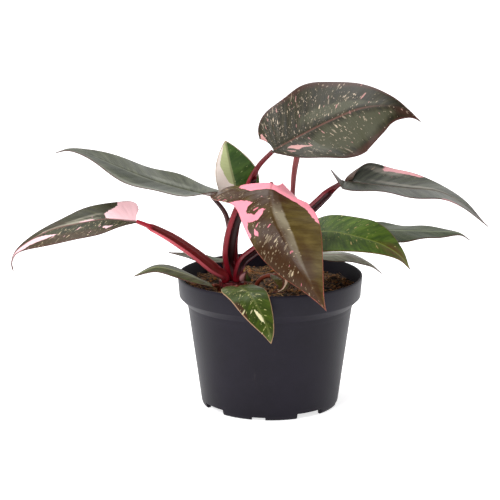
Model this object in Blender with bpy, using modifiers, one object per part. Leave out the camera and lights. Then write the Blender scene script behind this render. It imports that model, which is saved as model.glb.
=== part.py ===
"""A young pink princess philodendron in its nursery pot.

Metres, +Z up. The pot's axis is the Z axis and its foot stands on Z = 0. The plant
is seen from -Y, with +X to the right. Lengths below are in millimetres and MM
turns them into metres, angles are in degrees.
"""
import math

import bmesh
import bpy
import numpy as np
from mathutils import Vector

MM = 0.001
GAP = 0.35

# Pot
POT_HEIGHT = 86.0
LIP_RADIUS = 60.0
BAND_HEIGHT = 14.0
BAND_FOOT_RADIUS = 59.0
BAND_SLOPE = 5.0
BASE_RADIUS = 44.5
WALL_DRAFT = 0.1375
WALL = 1.2
RING_Z = 61.3
RING_STEP = 0.4
CORNER = 2.0
FOOT_WIDTH = 3.0
FLOOR_Z = 4.2
PAD_RADIUS = 20.0
POT_SEGMENTS = 64
STEM_SEGMENTS = 24
DRAIN_COUNT = 8
DRAIN_RADIUS = 4.0
DRAIN_RING = 31.0
NOTCH_TURN = 90.0
WIDE_NOTCH = (35.0, 19.0, 3.6)
SMALL_NOTCH = (-10.0, 9.0, 2.0)

# Soil
SOIL_Z = 78.0
SOIL_DROP = 1.0

# Crown and second shoot: place, radius, top and foot
STEMS = dict(
    crown=dict(at=(-24.5, 0.5), radius=8.5, top=81.3, foot=56.0),
    second_shoot=dict(at=(17.5, 18.5), radius=5.6, top=81.3, foot=60.0),
)

# Blades: a stalk stops short of its blade, lateral veins start at VEIN_START of the way along
# the rib and end at VEIN_END of it, and the base's sinus and tuck fade out along the blade
THICKNESS = 0.7
STALK_END_GAP = 1.3
VEIN_START_POWER = 1.8
VEIN_END_POWER = 1.15
SINUS_END = 0.3
TUCK_END = 0.6
RIPPLE_FADE_START = 0.35
RIPPLE_SIDE_SHIFT = 1.3
FLARE_PLACE = 0.09
FLARE_SPREAD = 0.17
ROWS_TO_ENDS = 0.6

# Rows and columns of a blade, rings and corners of a stalk
BLADE_GRID = dict(large=(18, 10), medium=(14, 8), small=(10, 6))
STALK_GRID = dict(large=(12, 10), medium=(8, 8), small=(7, 6))
STALK_FACE = (0.0, -1.0, 0.3)


def half(width, root, widest, fold, lobe=0.05, curl=0, lift=0, tuck=0, swing=0.8, flare=0):
    """One half of a blade.

    width: from rib to margin; root: share of it at the base; widest: place of the widest vein;
    fold: angle up from the rib; lobe: how far the basal lobe reaches back, as a share of the rib;
    curl: extra bend up at the margin; lift: angle up of the lobe; tuck: extra fold at the base;
    swing: how late the width changes between the base and the widest vein, low for a round lobe;
    flare: how far the lobe spreads beyond the side of the blade.
    """
    form = dict(width=width, root=root, widest=widest, fold=fold, lobe=lobe)
    form.update(curl=curl, lift=lift, tuck=tuck, swing=swing, flare=flare)
    return form


# Leaves. A rib runs from the stalk to the tip. "face" is where the upper surface looks at
# the rib's start and at its tip. "right" and "left" are the two halves, seen from above with
# the tip ahead. "taper" is how hollow the outline is towards the tip, and "wave" is the height,
# count and phase of the ripples along the margin. A stalk runs from its foot to the rib's start,
# and "girth" lists its (place, half width, half depth) from the foot (0) to the end (1).
LEAVES = dict(
    top=dict(
        colour="olive",
        size="large",
        taper=1.7,
        rib=[(2, -4, 168), (19, -6, 178), (38, -8, 188), (57, -10, 196), (75, -12, 198), (87, -13, 194),
             (95, -13, 188)],
        face=[(-0.2, -0.7, 0.7), (0.2, -0.7, 0.7)],
        right=half(30.5, 0.45, 0.6, -7, lobe=0.0, tuck=60, swing=1.2),
        left=half(36.5, 0.4, 0.36, -6, lobe=0.06, swing=0.55),
        wave=(1.3, 3.0, 0.0),
        stalk=[(-25, 1, 82), (-25.5, 0, 88), (-27, -2, 99), (-25, -3, 114), (-20, -4, 129), (-14, -4, 143),
               (-8, -4, 157), (2, -4, 168)],
        girth=[(0, 3.2, 2.6), (0.2, 5.6, 3.2), (0.5, 5.0, 3.0), (0.75, 3.6, 2.2), (0.83, 1.8, 1.6),
               (1, 1.4, 1.4)],
    ),
    right=dict(
        colour="olive",
        size="large",
        taper=1.5,
        rib=[(48, 2, 147), (66, 0, 145), (87, -2, 143), (108, -4, 141), (124, -6, 133), (140, -8, 119)],
        face=[(0.0, -0.1, 1.0), (0.3, -0.1, 1.0)],
        right=half(23, 0.55, 0.6, 4, lobe=0.12, lift=42, swing=0.7),
        left=half(28, 0.05, 0.32, 2, lobe=-0.05, tuck=36),
        wave=(1.2, 2.5, 0.5),
        stalk=[(-21.5, -5, 82), (-20.5, -5.5, 89), (-17.5, -5, 96), (-10, -4, 102), (8, -2, 114),
               (25.5, 0, 128), (39, 2, 140.5), (48, 2, 147)],
        girth=[(0, 2.6, 2.4), (0.15, 3.5, 3.0), (0.5, 3.9, 3.0), (0.85, 3.4, 2.6), (0.94, 1.8, 1.6),
               (1, 1.4, 1.4)],
    ),
    front=dict(
        colour="bronze",
        size="large",
        taper=1.25,
        rib=[(1, -20, 150), (0, -31, 147), (1, -42, 137), (6, -50, 126), (14, -58, 112), (23, -66, 98),
             (34, -72, 80)],
        face=[(0.0, -0.3, 1.0), (-0.5, -0.8, 0.2)],
        right=half(20, 0.5, 0.5, -6, lobe=0.12, curl=-15, lift=-18, tuck=4, swing=0.6, flare=1.32),
        left=half(26.5, 0.3, 0.45, -10, lobe=0.11, curl=-10, lift=5, tuck=-35, swing=0.65),
        wave=(1.0, 2.0, 0.0),
        stalk=[(-19.5, 4.3, 82), (-21.5, 4.3, 90), (-22.8, 4.3, 98), (-22.5, 4.3, 110), (-19, 4, 126),
               (-12, 0.3, 137.8), (-4, -10.6, 143.3), (0.9, -19.7, 149.6)],
        girth=[(0, 2.2, 2.0), (0.3, 2.0, 1.8), (0.6, 1.7, 1.6), (1, 1.4, 1.4)],
    ),
    upper_left=dict(
        colour="olive",
        size="large",
        taper=1.35,
        rib=[(-38, 8, 136), (-57, 10, 140), (-78, 12, 146), (-99, 14, 154), (-118, 15, 162), (-130, 15, 165),
             (-139, 15, 163)],
        face=[(0.1, 0.0, 1.0), (0.3, 0.0, 1.0)],
        right=half(26, 0.15, 0.5, 6, lobe=0.08, swing=0.55),
        left=half(24, 0.15, 0.45, -7, lobe=0.08, tuck=34, swing=0.55),
        wave=(1.2, 2.5, 1.0),
        stalk=[(-28.5, 6, 82), (-28, 7, 90), (-27, 8, 97), (-26, 7, 109), (-29, 8, 124), (-38, 8, 136)],
        girth=[(0, 2.2, 2.0), (0.3, 2.2, 2.0), (0.7, 1.6, 1.5), (1, 1.3, 1.3)],
    ),
    lower_left=dict(
        colour="olive",
        size="large",
        taper=1.9,
        rib=[(-86, -14, 124), (-104, -17, 126), (-121, -20, 124), (-139, -22, 120), (-153, -23, 113),
             (-162, -23, 106), (-165, -23, 99), (-164, -23, 93)],
        face=[(-0.1, -0.25, 1.0), (-0.5, -0.3, 0.8)],
        right=half(18.5, 0.45, 0.22, 0, lobe=0.02, tuck=28, swing=0.5),
        left=half(20.5, 0.1, 0.5, -3, lobe=0.0, swing=1.0),
        wave=(0.8, 2.5, 0.0),
        stalk=[(-28.5, -4.5, 82), (-30, -5.5, 86), (-36, -8, 91), (-48, -9, 101), (-63, -11, 112),
               (-77, -13, 120), (-86, -14, 124)],
        girth=[(0, 2.8, 2.4), (0.2, 4.2, 2.6), (0.6, 3.8, 2.4), (0.85, 2.8, 1.8), (0.9, 1.6, 1.4),
               (1, 1.3, 1.3)],
    ),
    upright=dict(
        colour="green",
        size="small",
        taper=0.85,
        rib=[(-21, 10, 133), (-23, 9, 144), (-26, 8, 157), (-29, 10, 172)],
        face=[(0.1, -1.0, 0.2), (0.1, -1.0, 0.2)],
        right=half(16.5, 0.3, 0.4, 8, lobe=0.02, swing=0.6),
        left=half(12, 0.3, 0.45, 15, lobe=0.02, swing=0.6),
        wave=(0.3, 2.0, 0.0),
        stalk=[(-24, 12, 66), (-24, 12, 84), (-23, 11, 100), (-21, 10, 118), (-21, 10, 133)],
        girth=[(0, 1.4, 1.4), (1, 1.1, 1.1)],
    ),
    right_mid=dict(
        colour="green",
        size="medium",
        taper=1.25,
        rib=[(27, 4, 113), (40, 0, 114), (55, -5, 112), (71, -10, 108), (83, -13, 101), (90, -14, 92)],
        face=[(0.0, -0.15, 1.0), (0.4, -0.2, 1.0)],
        right=half(25, 0.5, 0.25, -10, lobe=0.05, swing=0.6),
        left=half(21, 0.25, 0.5, 15, lobe=0.05, swing=0.6),
        wave=(0.5, 2.0, 0.0),
        stalk=[(15.5, 15.5, 82), (15.5, 15, 90), (16.5, 13, 98), (20, 9, 106), (27, 4, 113)],
        girth=[(0, 1.8, 1.6), (1, 1.2, 1.2)],
    ),
    right_back=dict(
        colour="olive",
        size="medium",
        taper=1.25,
        rib=[(46, 26, 110), (65, 28, 109), (86, 30, 108), (108, 31, 107), (125, 31, 106), (133, 31, 101)],
        face=[(0.0, 0.0, 1.0), (0.2, 0.0, 1.0)],
        right=half(19, 0.2, 0.5, -8, lobe=0.05, swing=0.6),
        left=half(19, 0.2, 0.5, 0, lobe=0.05, swing=0.6),
        wave=(1.2, 3.0, 0.0),
        stalk=[(20.5, 21, 82), (21, 21, 90), (25, 22, 98), (34, 24, 106), (46, 26, 110)],
        girth=[(0, 1.8, 1.6), (1, 1.2, 1.2)],
    ),
    right_low=dict(
        colour="olive",
        size="small",
        taper=1.25,
        rib=[(28, 12, 95), (41, 16, 95), (54, 19, 93), (66, 20, 88), (74, 20, 81)],
        face=[(0.0, 0.0, 1.0), (0.4, 0.0, 1.0)],
        right=half(11, 0.2, 0.45, -10, lobe=0.0, swing=0.6),
        left=half(11, 0.2, 0.45, -5, lobe=0.0, swing=0.6),
        wave=(0.4, 2.0, 0.0),
        stalk=[(20.5, 16, 82), (21.5, 15, 89), (24, 13.5, 93), (28, 12, 95)],
        girth=[(0, 1.3, 1.3), (1, 1.1, 1.1)],
    ),
    rim_left=dict(
        colour="green",
        size="small",
        taper=1.0,
        rib=[(-37, -20, 83), (-47, -24, 89), (-59, -27, 94), (-73, -28, 97), (-87, -28, 91)],
        face=[(0.0, -0.1, 1.0), (-0.3, -0.1, 1.0)],
        right=half(11, 0.2, 0.45, -6, lobe=0.0, swing=0.6),
        left=half(11, 0.2, 0.45, -6, lobe=0.0, swing=0.6),
        wave=(0.4, 2.0, 0.0),
        stalk=[(-33, -13, 66), (-33, -13.3, 79), (-34.5, -16, 82), (-37, -20, 83)],
        girth=[(0, 1.4, 1.4), (1, 1.1, 1.1)],
    ),
    back_left=dict(
        colour="green",
        size="small",
        taper=1.25,
        rib=[(-31, 16, 90), (-41, 20, 90), (-53, 24, 92), (-67, 26, 94)],
        face=[(0.0, -0.1, 1.0), (0.0, -0.1, 1.0)],
        right=half(8, 0.2, 0.45, 0, lobe=0.02, swing=0.6),
        left=half(8, 0.2, 0.45, 8, lobe=0.02, swing=0.6),
        wave=(0.2, 2.0, 0.0),
        stalk=[(-29, 15, 66), (-29, 15, 80), (-29.5, 15.5, 86), (-31, 16, 90)],
        girth=[(0, 1.2, 1.2), (1, 1.0, 1.0)],
    ),
    rim_front=dict(
        colour="green",
        size="small",
        taper=0.9,
        rib=[(-21, -36, 86.4), (-17, -51, 88.5), (-12, -62, 86.5), (-6, -69, 77), (-1.5, -72, 67),
             (0, -72, 59)],
        face=[(0.0, -0.2, 1.0), (0.3, -1.0, 0.1)],
        right=half(14, 0.2, 0.4, 0, lobe=0.03, swing=0.6),
        left=half(11, 0.2, 0.4, 0, lobe=0.03, swing=0.6),
        wave=(0.5, 2.0, 0.0),
        stalk=[(-24, -20, 66), (-24, -20.3, 79), (-23.5, -27, 83.2), (-21, -36, 86.4)],
        girth=[(0, 1.5, 1.5), (1, 1.2, 1.2)],
    ),
    young_front=dict(
        colour="green",
        size="small",
        taper=1.25,
        rib=[(4, -26, 91), (8, -34, 90), (7, -40, 86), (1, -43, 84)],
        face=[(0.0, -0.3, 1.0), (-0.3, -1.0, 0.5)],
        right=half(7, 0.6, 0.4, 20, lobe=0.02),
        left=half(7, 0.6, 0.4, 20, lobe=0.02),
        wave=(0.3, 1.0, 0.0),
        stalk=[(-10, -15, 66), (-9.5, -15, 77), (-8, -16, 84), (-3, -20, 89), (4, -26, 91)],
        girth=[(0, 1.5, 1.5), (1, 1.3, 1.3)],
    ),
    tiny=dict(
        colour="pale",
        size="small",
        taper=1.25,
        rib=[(-16, -8, 83), (-16, -11, 87), (-15, -12.5, 91)],
        face=[(0.0, -1.0, 0.6), (0.0, -1.0, 0.6)],
        right=half(4, 0.6, 0.4, 10, lobe=0.02),
        left=half(4, 0.6, 0.4, 10, lobe=0.02),
        wave=(0.1, 1.0, 0.0),
        stalk=[(-16, -9, 66), (-16, -9, 74), (-16, -8.7, 78), (-16, -8, 83)],
        girth=[(0, 1.1, 1.1), (1, 0.9, 0.9)],
    ),
)

# The rolled new leaf of the second shoot, which ends behind the top leaf
ROLLED_LEAF = dict(
    path=[(14.5, 21.5, 82), (13.5, 22, 92), (12.5, 22, 107), (14.5, 20, 127), (15.5, 19, 146),
          (17.5, 17, 160), (21, 14, 179), (24, 11, 192)],
    girth=[(0, 1.7, 1.7), (0.5, 1.6, 1.6), (0.7, 2.0, 2.0), (0.9, 1.4, 1.4), (1, 0.4, 0.4)],
)

COLOURS = dict(
    pot=((0.035, 0.034, 0.042), 0.55),
    soil=((0.09, 0.05, 0.03), 0.95),
    stem=((0.10, 0.02, 0.02), 0.5),
    stalk=((0.22, 0.02, 0.04), 0.4),
    bronze=((0.12, 0.10, 0.045), 0.35),
    green=((0.07, 0.11, 0.04), 0.35),
    olive=((0.06, 0.08, 0.035), 0.35),
    pale=((0.25, 0.35, 0.16), 0.45),
)

def clear_scene():
    for item in list(bpy.data.objects):
        bpy.data.objects.remove(item)


def new_collection(name):
    collection = bpy.data.collections.new(name)
    bpy.context.scene.collection.children.link(collection)
    return collection


def new_material(name, colour):
    base, roughness = COLOURS[colour]
    material = bpy.data.materials.new(name)
    material.use_nodes = True
    shader = material.node_tree.nodes["Principled BSDF"]
    shader.inputs["Base Color"].default_value = (*base, 1.0)
    shader.inputs["Roughness"].default_value = roughness
    shader.inputs["Metallic"].default_value = 0.0
    return material


def add_object(name, mesh, collection, colour=None):
    item = bpy.data.objects.new(name, mesh)
    collection.objects.link(item)
    if colour:
        mesh.materials.append(new_material(name, colour))
        mesh.shade_smooth()
    return item


def resample(path, count):
    """The same path with its points spread evenly, and its length."""
    run = np.concatenate([[0.0], np.cumsum(np.linalg.norm(np.diff(path, axis=0), axis=1))])
    even = np.linspace(0.0, run[-1], count)
    return np.stack([np.interp(even, run, path[:, axis]) for axis in range(3)], axis=1), run[-1]


def smooth_path(points, count):
    """Evenly spaced points on a smooth curve through the given ones, and its length."""
    knots = np.array(points, float)
    first = 2 * knots[0] - knots[1]
    last = 2 * knots[-1] - knots[-2]
    guide = np.vstack([first, knots, last])
    fine = [knots[0]]
    for a, b, c, d in zip(guide, guide[1:], guide[2:], guide[3:]):
        for t in np.linspace(0.05, 1.0, 20):
            cubic = 3 * b - a - 3 * c + d
            square = 2 * a - 5 * b + 4 * c - d
            fine.append(0.5 * (2 * b + (c - a) * t + square * t * t + cubic * t ** 3))
    return resample(np.array(fine), count)


def unit(vectors):
    return vectors / np.linalg.norm(vectors, axis=-1, keepdims=True)


def path_frames(path, face_start, face_end):
    """Direction, face and side of a path whose face turns evenly from one end to the other."""
    along = unit(np.gradient(path, axis=0))
    turn = np.linspace(0.0, 1.0, len(path))[:, None]
    face = (1 - turn) * np.array(face_start, float) + turn * np.array(face_end, float)
    face = unit(face - along * np.sum(face * along, axis=1, keepdims=True))
    side = np.cross(along, face)
    return along, face, side


class Rib:
    """The midrib of a blade as a smooth path with its frames."""

    def __init__(self, points, faces):
        self.path, self.length = smooth_path(points, 80)
        self.along, self.face, self.side = path_frames(self.path, *faces)
        self.run = np.linspace(0.0, self.length, len(self.path))

    def at(self, u):
        """Place, direction, face and side at a distance from the stalk."""
        clamped = min(max(u, 0.0), self.length)
        values = []
        for table in (self.path, self.along, self.face, self.side):
            values.append(np.array([np.interp(clamped, self.run, table[:, axis]) for axis in range(3)]))
        return values


def width_share(form, taper, p):
    """Share of the full half width that the blade has where lateral vein p meets the margin."""
    widest = form["widest"]
    flare = form["flare"] * math.exp(-((p - FLARE_PLACE) / FLARE_SPREAD) ** 2)
    if p < widest:
        rise = math.sin(math.pi / 2 * (p / widest) ** form["swing"])
        return form["root"] + (1 - form["root"]) * rise + flare
    return math.cos(math.pi / 2 * (p - widest) / (1 - widest)) ** taper + flare


def section(form, p, v):
    """How far across and up a point lies that is v along the section of vein p."""
    tuck = form["tuck"] * max(0.0, 1 - p / TUCK_END) ** 2
    angle = math.radians(form["fold"] + tuck)
    if form["curl"] == 0:
        return v * math.cos(angle), v * math.sin(angle)
    bend = math.radians(form["curl"]) / form["width"]
    across = (math.sin(angle + bend * v) - math.sin(angle)) / bend
    up = (math.cos(angle) - math.cos(angle + bend * v)) / bend
    return across, up


def blade_point(rib, leaf, p, s):
    """A point of the blade: p counts lateral veins from base to tip, s goes from margin to margin."""
    form = leaf["right"] if s > 0 else leaf["left"]
    q = abs(s)
    sinus = max(1 - p / SINUS_END, 0.0)
    start = rib.length * p ** VEIN_START_POWER
    end = rib.length * (-form["lobe"] + (1 + form["lobe"]) * p ** VEIN_END_POWER)
    u = start + (end - start) * q ** (1.2 + 0.3 * sinus)
    v = form["width"] * width_share(form, leaf["taper"], p) * q ** (1 - 0.3 * sinus)
    place, along, face, side = rib.at(u)
    if u < 0:
        lift = math.radians(form["lift"])
        place = place + u * (along * math.cos(lift) - face * math.sin(lift))
    across, up = section(form, p, v)
    height, count, phase = leaf["wave"]
    fade = math.cos(math.pi / 2 * max(0.0, p - RIPPLE_FADE_START) / (1 - RIPPLE_FADE_START))
    shift = phase + (RIPPLE_SIDE_SHIFT if s > 0 else 0.0)
    up += height * q * q * fade * math.sin(2 * math.pi * count * p + shift)
    return place + side * across * math.copysign(1.0, s) + face * up


def row_place(share):
    """The rows lie closer together at the base and at the tip, where the outline is round."""
    return (1 - ROWS_TO_ENDS) * share + ROWS_TO_ENDS * (1 - math.cos(math.pi * share)) / 2


def blade_mesh(name, leaf, grid):
    rows, columns = grid
    rib = Rib(leaf["rib"], leaf["face"])
    work = bmesh.new()
    lines = []
    for row in range(rows + 1):
        p = row_place(row / rows)
        line = []
        for column in range(columns + 1):
            s = 2 * column / columns - 1
            line.append(work.verts.new(Vector(blade_point(rib, leaf, p, s) * MM)))
        lines.append(line)
    for low, high in zip(lines, lines[1:]):
        for a, b, c, d in zip(low, low[1:], high[1:], high):
            work.faces.new((a, b, c, d))
    bmesh.ops.remove_doubles(work, verts=work.verts, dist=0.02 * MM)
    bmesh.ops.triangulate(work, faces=work.faces, quad_method="SHORT_EDGE")
    bmesh.ops.recalc_face_normals(work, faces=work.faces)
    mesh = bpy.data.meshes.new(name)
    work.to_mesh(mesh)
    work.free()
    return mesh


def add_blade(name, leaf, collection, colour, grid):
    item = add_object(name, blade_mesh(name, leaf, grid), collection, colour)
    shell = item.modifiers.new("thickness", "SOLIDIFY")
    shell.thickness = THICKNESS * MM
    shell.offset = 0.0
    return item


def stalk_mesh(name, points, girth, grid, end_gap=0.0):
    """A loft along a smooth path whose half width and half depth change from foot to end."""
    rings, corners = grid
    fine, length = smooth_path(points, 200)
    kept = round(len(fine) * (1 - end_gap / length))
    path, length = resample(fine[:kept], rings)
    along, face, side = path_frames(path, STALK_FACE, STALK_FACE)
    stations, half_widths, half_depths = zip(*girth)
    share = np.linspace(0.0, 1.0, rings)
    width = np.interp(share, stations, half_widths)
    depth = np.interp(share, stations, half_depths)
    work = bmesh.new()
    loops = []
    for place, up, out, w, d in zip(path, face, side, width, depth):
        loop = []
        for corner in range(corners):
            angle = 2 * math.pi * corner / corners
            point = place + out * w * math.cos(angle) + up * d * math.sin(angle)
            loop.append(work.verts.new(Vector(point * MM)))
        loops.append(loop)
    for low, high in zip(loops, loops[1:]):
        for corner in range(corners):
            after = (corner + 1) % corners
            work.faces.new((low[corner], low[after], high[after], high[corner]))
    work.faces.new(loops[0])
    work.faces.new(loops[-1])
    bmesh.ops.triangulate(work, faces=work.faces)
    bmesh.ops.recalc_face_normals(work, faces=work.faces)
    mesh = bpy.data.meshes.new(name)
    work.to_mesh(mesh)
    work.free()
    return mesh


def turned(name, profile, collection, colour=None, segments=POT_SEGMENTS, at=(0.0, 0.0)):
    """A profile of (radius, height) turned about an upright axis."""
    mesh = bpy.data.meshes.new(name)
    points = [(radius * MM, 0.0, height * MM) for radius, height in profile]
    edges = [(i, i + 1) for i in range(len(points) - 1)]
    mesh.from_pydata(points, edges, [])
    item = add_object(name, mesh, collection, colour)
    item.location = (at[0] * MM, at[1] * MM, 0.0)
    screw = item.modifiers.new("turn", "SCREW")
    screw.steps = segments
    screw.render_steps = segments
    screw.use_merge_vertices = True
    screw.merge_threshold = 0.00001
    screw.use_smooth_shade = True
    return item


def cut(item, cutter):
    hole = item.modifiers.new(cutter.name, "BOOLEAN")
    hole.operation = "DIFFERENCE"
    hole.object = cutter


def hide_cutter(cutter):
    cutter.hide_render = True
    cutter.display_type = "WIRE"


def body_radius(z):
    return BASE_RADIUS + WALL_DRAFT * z


def pot_profile():
    """Up the inside from the centre of the floor, over the lip and down the outside to the foot."""
    band_z = POT_HEIGHT - BAND_HEIGHT
    step_z = band_z - BAND_SLOPE
    inner_floor = FLOOR_Z + WALL
    return [
        (0.0, WALL),
        (PAD_RADIUS - 2.5, WALL),
        (PAD_RADIUS - 0.5, inner_floor),
        (body_radius(inner_floor) - WALL - 1.0, inner_floor),
        (body_radius(inner_floor + 1.5) - WALL, inner_floor + 1.5),
        (body_radius(step_z) - WALL, step_z + 0.5),
        (BAND_FOOT_RADIUS - WALL, band_z + 0.5),
        (LIP_RADIUS - WALL, POT_HEIGHT - 0.4),
        (LIP_RADIUS - WALL + 0.4, POT_HEIGHT),
        (LIP_RADIUS - 0.4, POT_HEIGHT),
        (LIP_RADIUS, POT_HEIGHT - 0.4),
        (BAND_FOOT_RADIUS, band_z),
        (body_radius(step_z) + 0.3, step_z),
        (body_radius(RING_Z) + RING_STEP, RING_Z),
        (body_radius(RING_Z), RING_Z - 0.8),
        (body_radius(CORNER), CORNER),
        (BASE_RADIUS - 0.4, 0.6),
        (BASE_RADIUS - 1.2, 0.0),
        (BASE_RADIUS - FOOT_WIDTH, 0.0),
        (BASE_RADIUS - FOOT_WIDTH - 0.5, FLOOR_Z),
        (PAD_RADIUS + 1.5, FLOOR_Z),
        (PAD_RADIUS, 0.0),
        (0.0, 0.0),
    ]


def box_cutter(name, centre, size, turn, collection):
    bpy.ops.mesh.primitive_cube_add(size=1.0, location=centre, rotation=(0.0, 0.0, turn))
    cutter = bpy.context.object
    cutter.name = name
    cutter.scale = size
    bpy.ops.object.transform_apply(location=False, rotation=False, scale=True)
    move_to(cutter, collection)
    hide_cutter(cutter)
    return cutter


def move_to(item, collection):
    for owner in list(item.users_collection):
        owner.objects.unlink(item)
    collection.objects.link(item)


def build_pot(parts, cutters):
    pot = turned("pot", pot_profile(), parts, "pot")
    for index in range(4):
        for label, (azimuth, span, height) in (("wide", WIDE_NOTCH), ("small", SMALL_NOTCH)):
            turn = math.radians(azimuth + NOTCH_TURN * index)
            reach = BASE_RADIUS * MM
            centre = (math.sin(turn) * reach, -math.cos(turn) * reach, height * MM / 2 - 0.001)
            size = (span * MM, 0.012, height * MM + 0.002)
            cutter = box_cutter(f"{label}_notch_{index}", centre, size, turn, cutters)
            cut(pot, cutter)
    for index in range(DRAIN_COUNT):
        turn = 2 * math.pi * (index + 0.5) / DRAIN_COUNT
        bpy.ops.mesh.primitive_cylinder_add(
            vertices=16,
            radius=DRAIN_RADIUS * MM,
            depth=0.02,
            location=(math.cos(turn) * DRAIN_RING * MM, math.sin(turn) * DRAIN_RING * MM, FLOOR_Z * MM),
        )
        cutter = bpy.context.object
        cutter.name = f"drain_{index}"
        move_to(cutter, cutters)
        hide_cutter(cutter)
        cut(pot, cutter)
    return pot


def soil_profile():
    band_z = POT_HEIGHT - BAND_HEIGHT
    step_z = band_z - BAND_SLOPE
    inner_floor = FLOOR_Z + WALL
    skin = WALL + GAP
    return [
        (0.0, SOIL_Z),
        (20.0, SOIL_Z - 0.1),
        (40.0, SOIL_Z - 0.5),
        (LIP_RADIUS - skin - 1.3, SOIL_Z - SOIL_DROP),
        (LIP_RADIUS - skin - 0.7, SOIL_Z - SOIL_DROP - 1.0),
        (BAND_FOOT_RADIUS - skin, band_z + 0.5 + GAP),
        (body_radius(step_z) - skin, step_z + 0.5 + GAP),
        (body_radius(inner_floor + 1.5) - skin, inner_floor + 1.5 + GAP),
        (body_radius(inner_floor) - skin - 1.2, inner_floor + GAP),
        (PAD_RADIUS - 0.5 - GAP, inner_floor + GAP),
        (PAD_RADIUS - 2.5 - GAP, WALL + GAP),
        (0.0, WALL + GAP),
    ]


def build_stems(parts):
    for name, stem in STEMS.items():
        r = stem["radius"]
        top = stem["top"]
        foot = stem["foot"]
        crown = [(0.0, top), (r - 1.5, top - 0.3), (r, top - 1.8)]
        root = [(r, foot + 4), (r * 0.6, foot), (0.0, foot)]
        turned(name, crown + root, parts, "stem", STEM_SEGMENTS, stem["at"])


def hole_profile(radius, foot):
    above = POT_HEIGHT + 10.0
    return [(0.0, above), (radius + GAP, above), (radius + GAP, foot - GAP), (0.0, foot - GAP)]


def build_soil(parts, cutters):
    soil = turned("soil", soil_profile(), parts, "soil")
    holes = []
    for name, stem in STEMS.items():
        holes.append((name, stem["at"], stem["radius"] + 0.1, stem["foot"]))
    for name, leaf in LEAVES.items():
        x, y, z = leaf["stalk"][0]
        if z < SOIL_Z:
            holes.append((name, (x, y), leaf["girth"][0][1] + 1.0, z))
    for name, at, radius, foot in holes:
        cutter = turned(f"{name}_hole", hole_profile(radius, foot), cutters, None, STEM_SEGMENTS, at)
        hide_cutter(cutter)
        cut(soil, cutter)


def build_plant(parts):
    for name, leaf in LEAVES.items():
        size = leaf["size"]
        add_blade(f"{name}_blade", leaf, parts, leaf["colour"], BLADE_GRID[size])
        mesh = stalk_mesh(f"{name}_stalk", leaf["stalk"], leaf["girth"], STALK_GRID[size], STALK_END_GAP)
        add_object(f"{name}_stalk", mesh, parts, "stalk")
    mesh = stalk_mesh("rolled_leaf", ROLLED_LEAF["path"], ROLLED_LEAF["girth"], STALK_GRID["large"])
    add_object("rolled_leaf", mesh, parts, "stalk")


def main():
    clear_scene()
    parts = new_collection("pink_princess_in_pot")
    cutters = new_collection("cutters")
    build_pot(parts, cutters)
    build_stems(parts)
    build_soil(parts, cutters)
    build_plant(parts)


main()
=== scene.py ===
# %% [markdown]
# # A pink princess philodendron in its nursery pot
#
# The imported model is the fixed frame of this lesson. It gives every stem, blade and stalk
# its place, and the pieces below stand in for those plain solids with finer ones. Lengths
# are in metres in Blender, but plants are easier to think of in millimetres, so the tables
# hold millimetres and `MM` turns them into metres.

# %% Load the frame
import math
import random

import bmesh
import bpy
import numpy as np
from mathutils import Matrix, Vector, noise


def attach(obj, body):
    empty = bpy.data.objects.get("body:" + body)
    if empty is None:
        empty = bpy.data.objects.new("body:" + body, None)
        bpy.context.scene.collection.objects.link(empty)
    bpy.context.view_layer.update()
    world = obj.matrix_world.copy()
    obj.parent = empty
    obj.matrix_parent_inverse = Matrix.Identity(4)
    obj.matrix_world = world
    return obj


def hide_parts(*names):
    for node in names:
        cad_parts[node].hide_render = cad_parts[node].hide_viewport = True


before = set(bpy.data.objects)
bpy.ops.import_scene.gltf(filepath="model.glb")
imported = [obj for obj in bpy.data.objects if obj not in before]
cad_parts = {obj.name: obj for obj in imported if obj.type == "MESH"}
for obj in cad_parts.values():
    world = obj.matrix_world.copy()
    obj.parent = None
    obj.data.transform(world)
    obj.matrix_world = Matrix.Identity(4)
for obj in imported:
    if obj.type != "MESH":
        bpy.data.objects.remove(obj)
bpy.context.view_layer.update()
MM = 0.001
print("solids in the frame:", len(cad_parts))

# %% [markdown]
# ## The camera
#
# The photograph was taken from a little over a metre away with a long lens, looking down
# by thirteen degrees: the rim of the pot is a narrow ellipse. A lens could be guessed and
# nudged by eye, but the ellipse of the rim and the curve of the foot fix both the tilt
# and the distance, so the numbers come from them.

# %% Set the camera
TILT = 13.2
FOCAL_LENGTH = 144.36
CAMERA_PLACE = (-0.013, -1.26565, 0.39856)


def new_object(name, data):
    item = bpy.data.objects.new(name, data)
    bpy.context.scene.collection.objects.link(item)
    return item


lens = bpy.data.cameras.new("camera")
lens.lens = FOCAL_LENGTH
lens.sensor_width = 36.0
camera = new_object("camera", lens)
camera.location = CAMERA_PLACE
camera.rotation_euler = (math.radians(90 - TILT), 0.0, 0.0)
bpy.context.scene.camera = camera
print("camera height:", camera.location.z)

# %% [markdown]
# ## Small helpers for shader nodes
#
# A material is a tree of nodes. Adding each by hand takes many lines, so one helper makes
# a node, sets its options and feeds its sockets, either with a number or with a link. The
# others name what a maker does with it: fade, blend, tint, stretch, grain and bump.

# %% Node helpers
def add(tree, kind, sockets=None, **options):
    item = tree.nodes.new(kind)
    for key, value in options.items():
        setattr(item, key, value)
    for key, value in (sockets or {}).items():
        if isinstance(value, bpy.types.NodeSocket):
            tree.links.new(value, item.inputs[key])
        else:
            item.inputs[key].default_value = value
    return item


def calc(tree, operation, a, b=0.0, c=0.0):
    item = add(tree, "ShaderNodeMath", {0: a, 1: b, 2: c}, operation=operation)
    return item.outputs[0]


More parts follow.
